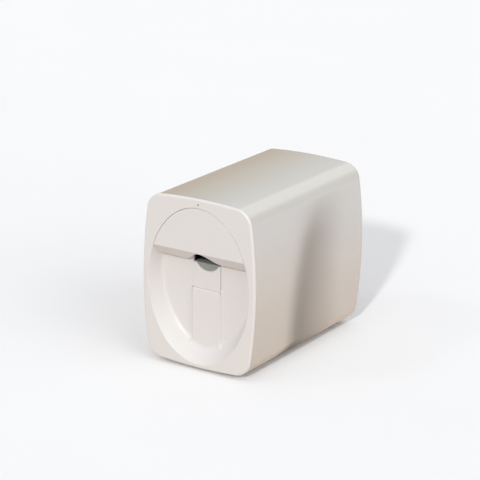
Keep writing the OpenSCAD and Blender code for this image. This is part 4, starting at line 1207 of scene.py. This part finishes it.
@dataclass
class FingerRest:
    """Sprung rest above the tongue: front plate, scoop with a rounded lip, and its silicone pad."""

    half: float = 13.25
    front: float = -72.3
    back: float = -47.3
    top: float = 88.8
    low: float = 56.1
    cradle_low: float = 80.5
    plate: float = 2.2
    scoop_radius: float = 12.9
    scoop_z: float = 95.7
    pad_reach: float = 1.2
    lip: float = 1.6
    lip_high: float = 2.3
    end_wall: float = 1.6
    guide_x: float = 8.5
    guide_y: float = -58.55
    guide_bore: float = 1.55
    guide_boss: float = 3.3
    spring_boss: float = 4.4
    spring_top: float = 66.1
    blind: float = 0.01
    pad_edge: float = 0.6
    pad_sink: float = 0.02

    def scoop(self, x: float, drop: float = 0.0) -> float:
        """Height of the scoop at some X, lowered by some distance along its radius."""
        radius = self.scoop_radius + drop
        return min(self.top, self.scoop_z - math.sqrt(max(radius * radius - x * x, 0)))

    def columns(self, half: float) -> Points:
        """Places across the rest, closer together at its sides."""
        count, crowding = 41, 0.35
        turn = np.linspace(-math.pi / 2, math.pi / 2, count)
        return half * np.sin(turn) * crowding + half * np.linspace(-1, 1, count) * (1 - crowding)

    def section(self, x: float) -> list[tuple[float, float]]:
        """Closed section in Y and Z at some X."""
        rim, seat = self.scoop(x), self.scoop(x, self.pad_reach)
        radius, start = self.lip, rim - self.lip_high
        points = [(self.front, self.low), (self.front, (self.low + start) / 2), (self.front, start)]
        for turn in np.radians([15, 30, 45, 60, 75, 90]):
            back, up = radius * (1 - math.cos(turn)), self.lip_high * math.sin(turn)
            points.append((self.front + back, start + up))
        inner = self.back - self.end_wall
        points += [(self.front + radius + 0.02, seat), (inner, seat), (inner, self.top)]
        points += [(self.back, self.top), (self.back, self.cradle_low)]
        points += [(self.front + self.plate, self.cradle_low)]
        points += [(self.front + self.plate, self.low)]
        return points

    def loft(self, name: str, sections: list[tuple[float, list[tuple[float, float]]]]) -> Piece:
        """Skins sections across X into a closed piece.

        Args:
            name: the piece's name.
            sections: each X with its closed section in Y and Z.

        Returns:
            The piece, not made yet.
        """
        piece = Piece(name)
        count = len(sections[0][1])
        points = np.array([(x, y, z) for x, ring in sections for y, z in ring])
        faces: list[tuple[int, ...]] = []
        for row in range(len(sections) - 1):
            for i in range(count):
                a, b = row * count + i, row * count + (i + 1) % count
                faces.append((a, a + count, b + count, b))
        last = (len(sections) - 1) * count
        faces.append(tuple(range(count)))
        faces.append(tuple(last + i for i in range(count - 1, -1, -1)))
        piece.add(points, faces, True)
        return piece

    def build(self) -> bpy.types.Object:
        """Makes the rest with its guide bosses.

        Returns:
            The rest's object, which stands for the CAD rest.
        """
        sections = [(x, self.section(x)) for x in self.columns(self.half)]
        piece = self.loft("finger_rest_shell", sections)
        root = self.cradle_low + 0.2
        for x in (-self.guide_x, self.guide_x):
            piece.tube(np.array([x, self.guide_y]), 2, self.guide_boss, self.guide_bore, self.low + 4, root)
        piece.tube(np.array([0, self.guide_y]), 2, self.spring_boss, self.blind, self.spring_top, root)
        rest = piece.make(WHITE_ABS)
        soften(rest, 0.3, 30)
        return rest

    def build_pad(self) -> bpy.types.Object:
        """Makes the silicone pad, a block that fills the scoop behind its lip, with a rounded front edge.

        Returns:
            The pad's object, which stands for the CAD pad.
        """
        inset = 1.7 + self.pad_sink
        front, back, top = self.front + inset, self.back - inset, self.top - self.pad_sink
        reach = self.scoop_radius + self.pad_reach
        half = math.sqrt(reach**2 - (self.scoop_z - self.top) ** 2) - 0.06
        sections = []
        for x in self.columns(half):
            under = self.scoop(x, self.pad_reach - 0.03)
            soft = min(self.pad_edge, (top - under) * 0.4)
            ring = [(front, under), (front, top - soft)]
            for turn in np.radians([30, 60, 90]):
                ring.append((front + soft * (1 - math.cos(turn)), top - soft + soft * math.sin(turn)))
            ring += [((front + back) / 2, top), (back, top), (back, under)]
            sections.append((float(x), ring))
        pad = self.loft("finger_pad_block", sections).make(GREY_SILICONE)
        soften(pad, 0.15, 35)
        return pad


def soften(piece: bpy.types.Object, width: float, angle: float) -> None:
    """Rounds the edges of a piece as its mould or tool does.

    Args:
        piece: the object.
        width: width of the rounding in mm.
        angle: edges that bend more than this are rounded, in degrees.
    """
    bevel = piece.modifiers.new("rounded_edges", "BEVEL")
    bevel.width = width * MM
    bevel.segments = 2
    bevel.limit_method = "ANGLE"
    bevel.angle_limit = math.radians(angle)
    bevel.harden_normals = False
    bevel.use_clamp_overlap = True
    normals = piece.modifiers.new("even_normals", "WEIGHTED_NORMAL")
    normals.keep_sharp = True
    normals.weight = 50


@dataclass(frozen=True)
class Dress:
    """CAD nodes that keep their shape, with their finish and the rounding of their edges in mm."""

    finish: Finish
    edge: float
    nodes: tuple[str, ...]


DRESSES = (
    Dress(WHITE_ABS, 0.3, ("rear_panel",)),
    Dress(BUTTON_ABS, 0.5, ("power_button",)),
    Dress(SMOKED_POLYCARBONATE, 0.0, ("status_light_pipe",)),
    Dress(CLEAR_POLYCARBONATE, 0.1, ("camera_lens",)),
    Dress(BLACK_RUBBER, 0.1, ("drive_belt",)),
    Dress(BLACK_RUBBER, 0.2, ("nozzle_cap",)),
    Dress(BLACK_RUBBER, 0.5, ("rubber_feet",)),
    Dress(ZINC_SHEET, 0.1, ("keeper_plates",)),
    Dress(ZINC_SHEET, 0.15, ("base_plate", "front_frame", "rear_frame", "camera_bracket", "cap_bracket")),
    Dress(ZINC_SHEET, 0.2, ("rest_bracket",)),
    Dress(GROUND_STEEL, 0.1, ("lead_screw", "cross_motor_shaft", "idler_pin", "latch_pin", "inlet_pin")),
    Dress(GROUND_STEEL, 0.2, ("rest_guide_rods",)),
    Dress(GROUND_STEEL, 0.25, ("cross_rods",)),
    Dress(GROUND_STEEL, 0.3, ("long_rods",)),
    Dress(SPRING_WIRE, 0.0, ("rest_spring", "button_spring")),
    Dress(BARREL_ZINC, 0.2, ("front_screws", "rear_screws", "base_screws", "frame_screws", "board_screws")),
    Dress(MOTOR_CAN, 0.4, ("long_motor", "cross_motor")),
    Dress(NICKEL_PLATE, 0.2, ("hood_magnets",)),
    Dress(CAST_ALLOY, 0.1, ("drive_pulley",)),
    Dress(CAST_ALLOY, 0.3, ("stage_frame",)),
    Dress(EXTRUDED_ALLOY, 0.15, ("heat_sink",)),
    Dress(SINTERED_BRONZE, 0.05, ("nozzle_plate",)),
    Dress(SINTERED_BRONZE, 0.1, ("board_standoffs",)),
    Dress(SINTERED_BRONZE, 0.15, ("lead_nut", "front_bearing", "cross_rod_bushings")),
    Dress(SINTERED_BRONZE, 0.2, ("long_rod_bushings",)),
    Dress(DARK_POLYAMIDE, 0.2, ("camera_module", "belt_clamp", "power_inlet", "power_switch")),
    Dress(DARK_POLYAMIDE, 0.25, ("carriage",)),
    Dress(DARK_POLYAMIDE, 0.3, ("cartridge",)),
    Dress(WHITE_ACETAL, 0.1, ("idler_pulley",)),
    Dress(AMBER_ABS, 0.25, ("cartridge_latch",)),
    Dress(SOLDER_MASK, 0.0, ("indicator_board", "main_board")),
    Dress(LIGHT_BOARD, 0.1, ("nail_light_bars",)),
    Dress(SHRINK_FILM, 0.4, ("board_capacitors",)),
    Dress(TINNED_SHIELD, 0.2, ("wireless_module",)),
)


def dress_nodes(nodes: dict[str, bpy.types.Object]) -> None:
    """Gives every CAD node that shows its finish and softened edges.

    Args:
        nodes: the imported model's objects by name.
    """
    for dress in DRESSES:
        for name in dress.nodes:
            node = nodes[name]
            node.data.materials.clear()
            node.data.materials.append(dress.finish.build())
            if dress.edge > 0:
                weld = node.modifiers.new("join_corners", "WELD")
                weld.merge_threshold = 0.002 * MM
                flat = node.modifiers.new("join_flat_faces", "DECIMATE")
                flat.decimate_type = "DISSOLVE"
                flat.angle_limit = math.radians(0.5)
                soften(node, dress.edge, SHARP_TURN)
            LOG.info("dressed %s in %s", name, dress.finish.name)


@dataclass(frozen=True)
class SpringSeat:
    """Fixed end of a coil spring in mm, its length at rest, and the joint that presses it."""

    joint: str
    axis: tuple[float, float, float]
    seat: tuple[float, float, float]
    length: float
    travel: float

    def fit(self, spring: bpy.types.Object) -> None:
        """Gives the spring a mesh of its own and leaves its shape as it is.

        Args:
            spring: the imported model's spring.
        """
        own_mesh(spring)


SPRING_SEATS: dict[str, SpringSeat] = {
    "rest_spring": SpringSeat("rest_press", (0, 0, 1), (0, -58.55, 37.0), 28.9, 8.05),
    "button_spring": SpringSeat("button_press", (0, 1, 0), (20, 70.5, 21.2), 7.9, 1.52),
}


# Floor, light and camera


@dataclass(frozen=True)
class Lamp:
    """Softbox so far away that it lights evenly: where it stands, its strength, width in degrees and colour.

    One that mirrors don't see only fills the shade.
    """

    name: str
    towards: tuple[float, float, float]
    strength: float
    width: float
    colour: str
    in_mirrors: bool = True

    def build(self) -> None:
        """Makes the lamp."""
        lamp = bpy.data.lights.new(self.name, "SUN")
        lamp.energy = self.strength
        lamp.angle = math.radians(self.width)
        lamp.color = linear(self.colour)[:3]
        stand = bpy.data.objects.new(self.name, lamp)
        stand.visible_glossy = self.in_mirrors
        stand.rotation_euler = Vector(self.towards).to_track_quat("Z", "Y").to_euler()
        bpy.context.scene.collection.objects.link(stand)


@dataclass
class Studio:
    """Pale floor, sky light and softboxes, with the camera at the photograph's angle.

    Lengths on the floor are metres. The camera's place and lens are millimetres, and its turns degrees.
    The warm tint near the object and the dark patch behind its right side are painted on the floor for
    mirrors only, as painted reflections on the sleeve; the room's colours also only show in mirrors.
    """

    floor_half: float = 6.0
    floor_steps: int = 12
    floor_colour: str = "#F8F8F7"
    mottle_colour: str = "#F6F6F5"
    bounce_colour: str = "#C8B8AB"
    # Warm floor tint near the object, seen only in mirrors: a painted warm reflection on the sleeve's lower
    # side.
    painted_warm_reflection_colour: str = "#F8E8D9"
    # Painted dark patch on the floor behind the right side, seen only in mirrors, a painted reflection of
    # shade on the sleeve's side: its colour, turn, edge, softness and width.
    painted_dark_reflection_colour: str = "#7C6854"
    painted_dark_reflection_turn: float = 33.5
    painted_dark_reflection_edge: float = 0.051
    painted_dark_reflection_soft: float = 0.005
    painted_dark_reflection_width: float = 0.045
    sky: float = 0.66
    sky_colour: str = "#F9FAFF"
    wall_colour: str = "#FBFBFB"
    low_room: str = "#C9B99F"
    mid_room: str = "#EAEBE7"
    room_slant: float = 0.6
    room_fade: tuple[float, float] = (-0.14, 0.06)
    high_fade: tuple[float, float] = (0.34, 0.5)
    high_gain: float = 0.35
    lamps: tuple[Lamp, ...] = (
        Lamp("front_softbox", (0.28, -0.84, 0.46), 1.24, 4.0, "#FFFFFF"),
        Lamp("glint_softbox", (-0.52, -0.50, 0.70), 0.13, 6.0, "#FFFFFF"),
        Lamp("side_softbox", (0.90, -0.20, 0.38), 0.90, 55.0, "#FFFFFF", False),
    )
    place: tuple[float, float, float] = (878.96, -1358.37, 614.13)
    yaw: float = 33.368
    pitch: float = 17.941
    roll: float = 0.548
    lens: float = 151.12

    def painted_dark_reflection_share(self, tree: bpy.types.NodeTree, place: bpy.types.NodeSocket) -> bpy.types.NodeSocket:
        """Adds the dark patch painted on the floor behind the right side, for mirrors only: painted shade
        that the sleeve's side shows as a painted reflection.

        Args:
            tree: the floor's node tree.
            place: place on the floor in metres.

        Returns:
            The socket that is 1 on the painted dark patch and 0 beside it.
        """
        turn = {"Vector": place, "Angle": math.radians(self.painted_dark_reflection_turn)}
        turned = add_node(tree, "ShaderNodeVectorRotate", turn, rotation_type="Z_AXIS").outputs[0]
        along, across = add_node(tree, "ShaderNodeSeparateXYZ", {0: turned}).outputs[:2]
        edge, soft = self.painted_dark_reflection_edge, self.painted_dark_reflection_soft
        ranges = (
            (along, edge - self.painted_dark_reflection_width, edge - 2 * soft, 0.0, 1.0),
            (across, 0.45, 1.15, 1.0, 0.15),
            (across, -0.02, 0.02, 0.0, 1.0),
        )
        first = {"Value": along, "From Min": edge + soft, "From Max": edge - soft}
        share = add_node(tree, "ShaderNodeMapRange", first).outputs[0]
        for value, start, end, low, high in ranges:
            limits = {"Value": value, "From Min": start, "From Max": end, "To Min": low, "To Max": high}
            factors = {0: share, 1: add_node(tree, "ShaderNodeMapRange", limits).outputs[0]}
            share = add_node(tree, "ShaderNodeMath", factors, operation="MULTIPLY").outputs[0]
        return share

    def build_floor(self) -> None:
        """Makes the floor, white paper with a very faint mottle, which mirrors see with a painted warm tint
        near the object and a painted dark patch behind its right side.

        Lamps see it in a duller shade than the camera and mirrors do, as a small sheet of paper on a table
        has it.
        """
        size, count = self.floor_half, self.floor_steps
        mesh = bpy.data.meshes.new("studio_floor")
        steps = np.linspace(-size, size, count + 1)
        corners = [r * (count + 1) + c for r in range(count) for c in range(count)]
        faces = [(c, c + 1, c + count + 2, c + count + 1) for c in corners]
        mesh.from_pydata([(x, y, 0.0) for y in steps for x in steps], [], faces)
        material = bpy.data.materials.new("studio_paper")
        material.use_nodes = True
        tree = material.node_tree
        tree.nodes.clear()
        place = add_node(tree, "ShaderNodeTexCoord").outputs["Object"]
        ray = add_node(tree, "ShaderNodeLightPath").outputs
        cloud = {"Vector": place, "Scale": 6.0, "Detail": 1.0}
        mottle = add_node(tree, "ShaderNodeTexNoise", cloud).outputs[0]
        reach = add_node(tree, "ShaderNodeVectorMath", {0: place}, operation="LENGTH").outputs["Value"]
        near = {"Value": reach, "From Min": 0.1, "From Max": 0.6}
        away = add_node(tree, "ShaderNodeMapRange", near).outputs[0]
        # Painted dark patch for mirrors: painted shade that shows as a dark band reflected in the sleeve's
        # side.
        painted_dark_reflection = self.painted_dark_reflection_share(tree, place)
        # The second chain is what mirrors see: the floor with a painted warm tint near the object and the
        # painted dark patch, both painted reflections on the sleeve.
        chains = (
            (self.floor_colour, (mottle, self.mottle_colour), (ray["Is Diffuse Ray"], self.bounce_colour)),
            (self.painted_warm_reflection_colour, (away, self.floor_colour), (painted_dark_reflection, self.painted_dark_reflection_colour)),
        )
        shades = []
        for first, *steps in chains:
            shade = linear(first)
            for share, colour in steps:
                mixed = {0: share, 6: shade, 7: linear(colour)}
                shade = add_node(tree, "ShaderNodeMix", mixed, data_type="RGBA").outputs[2]
            shades.append(shade)
        mixed = {0: ray["Is Glossy Ray"], 6: shades[0], 7: shades[1]}
        shaded = add_node(tree, "ShaderNodeMix", mixed, data_type="RGBA")
        paper = add_node(tree, "ShaderNodeBsdfDiffuse", {"Color": shaded.outputs[2], "Roughness": 0.2})
        add_node(tree, "ShaderNodeOutputMaterial", {"Surface": paper.outputs[0]})
        mesh.materials.append(material)
        floor = bpy.data.objects.new("studio_floor", mesh)
        bpy.context.scene.collection.objects.link(floor)

    def build_sky(self) -> None:
        """Lights the scene evenly, and shows the camera a white room, and mirrors one with a dimmer foot."""
        world = bpy.data.worlds.new("studio_sky")
        bpy.context.scene.world = world
        world.use_nodes = True
        tree = world.node_tree
        tree.nodes.clear()
        ray = add_node(tree, "ShaderNodeLightPath").outputs
        direct = {0: ray["Is Camera Ray"], 1: ray["Is Transmission Ray"]}
        seen = add_node(tree, "ShaderNodeMath", direct, operation="MAXIMUM").outputs[0]
        towards = add_node(tree, "ShaderNodeTexCoord").outputs["Generated"]
        right, _, up = add_node(tree, "ShaderNodeSeparateXYZ", {0: towards}).outputs
        slant = {0: right, 1: self.room_slant, 2: up}
        across = add_node(tree, "ShaderNodeMath", slant, operation="MULTIPLY_ADD").outputs[0]
        start, end = self.room_fade
        fade = {"Value": across, "From Min": start, "From Max": end}
        clear = add_node(tree, "ShaderNodeMapRange", fade).outputs[0]
        start, end = self.high_fade
        high = 1.0 + self.high_gain
        gain = {"Value": up, "From Min": start, "From Max": end, "To Min": 1.0, "To Max": high}
        rise = add_node(tree, "ShaderNodeMapRange", gain).outputs[0]
        shades = {0: clear, 6: linear(self.low_room), 7: linear(self.mid_room)}
        room = add_node(tree, "ShaderNodeMix", shades, data_type="RGBA").outputs[2]
        light, mirror, wall = (
            add_node(tree, "ShaderNodeBackground", {"Color": colour, "Strength": strength}).outputs[0]
            for colour, strength in (
                (linear(self.sky_colour), self.sky),
                (room, rise),
                (linear(self.wall_colour), 1.0),
            )
        )
        unseen = add_node(tree, "ShaderNodeMixShader", {0: ray["Is Glossy Ray"], 1: light, 2: mirror})
        both = add_node(tree, "ShaderNodeMixShader", {0: seen, 1: unseen.outputs[0], 2: wall})
        add_node(tree, "ShaderNodeOutputWorld", {"Surface": both.outputs[0]})

    def build_camera(self) -> None:
        """Makes the camera that solves the photograph's perspective."""
        yaw, pitch, roll = (math.radians(a) for a in (self.yaw, self.pitch, self.roll))
        level = math.cos(pitch)
        forward = Vector((-math.sin(yaw) * level, math.cos(yaw) * level, -math.sin(pitch)))
        right = Vector((math.cos(yaw), math.sin(yaw), 0))
        up = right.cross(forward)
        across = math.cos(roll) * right + math.sin(roll) * up
        above = -math.sin(roll) * right + math.cos(roll) * up
        lens = bpy.data.cameras.new("photo_camera")
        lens.lens = self.lens
        lens.sensor_width = 36.0
        lens.clip_end = 50.0
        camera = bpy.data.objects.new("photo_camera", lens)
        turn = Matrix((across, above, -forward)).transposed()
        camera.matrix_world = Matrix.Translation(Vector(self.place) * MM) @ turn.to_4x4()
        bpy.context.scene.collection.objects.link(camera)
        bpy.context.scene.camera = camera

    def build(self) -> None:
        """Makes floor, light and camera."""
        self.build_camera()
        self.build_floor()
        self.build_sky()
        for lamp in self.lamps:
            lamp.build()
        bpy.context.scene.view_settings.view_transform = "Standard"


def place_piece(piece: bpy.types.Object, body: str, node: str) -> None:
    """Puts a piece on its body in place of a CAD node.

    Args:
        piece: the object.
        body: the body that it moves with.
        node: the CAD node that it stands for.
    """
    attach(piece, body)
    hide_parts(node)
    LOG.info("built %s for %s on %s", piece.name, node, body)


def main() -> None:
    """Builds everything in order."""
    logging.basicConfig(level=logging.INFO, format="%(message)s")
    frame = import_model()
    bodies = frame["record"]["behaviour"]["bodies"]
    home = {node: body for body, members in bodies.items() for node in members}
    Studio().build()
    shells = Shells()
    rest = FingerRest()
    place_piece(OuterSleeve(shells).build(), home["outer_sleeve"], "outer_sleeve")
    place_piece(FrontPanel(shells).build(), home["front_panel"], "front_panel")
    place_piece(HoodCover(shells).build(), home["hood_cover"], "hood_cover")
    place_piece(rest.build(), home["finger_rest"], "finger_rest")
    place_piece(rest.build_pad(), home["finger_pad"], "finger_pad")
    dress_nodes(frame["nodes"])
    for name, seat in SPRING_SEATS.items():
        seat.fit(frame["nodes"][name])


if __name__ == "__main__":
    main()
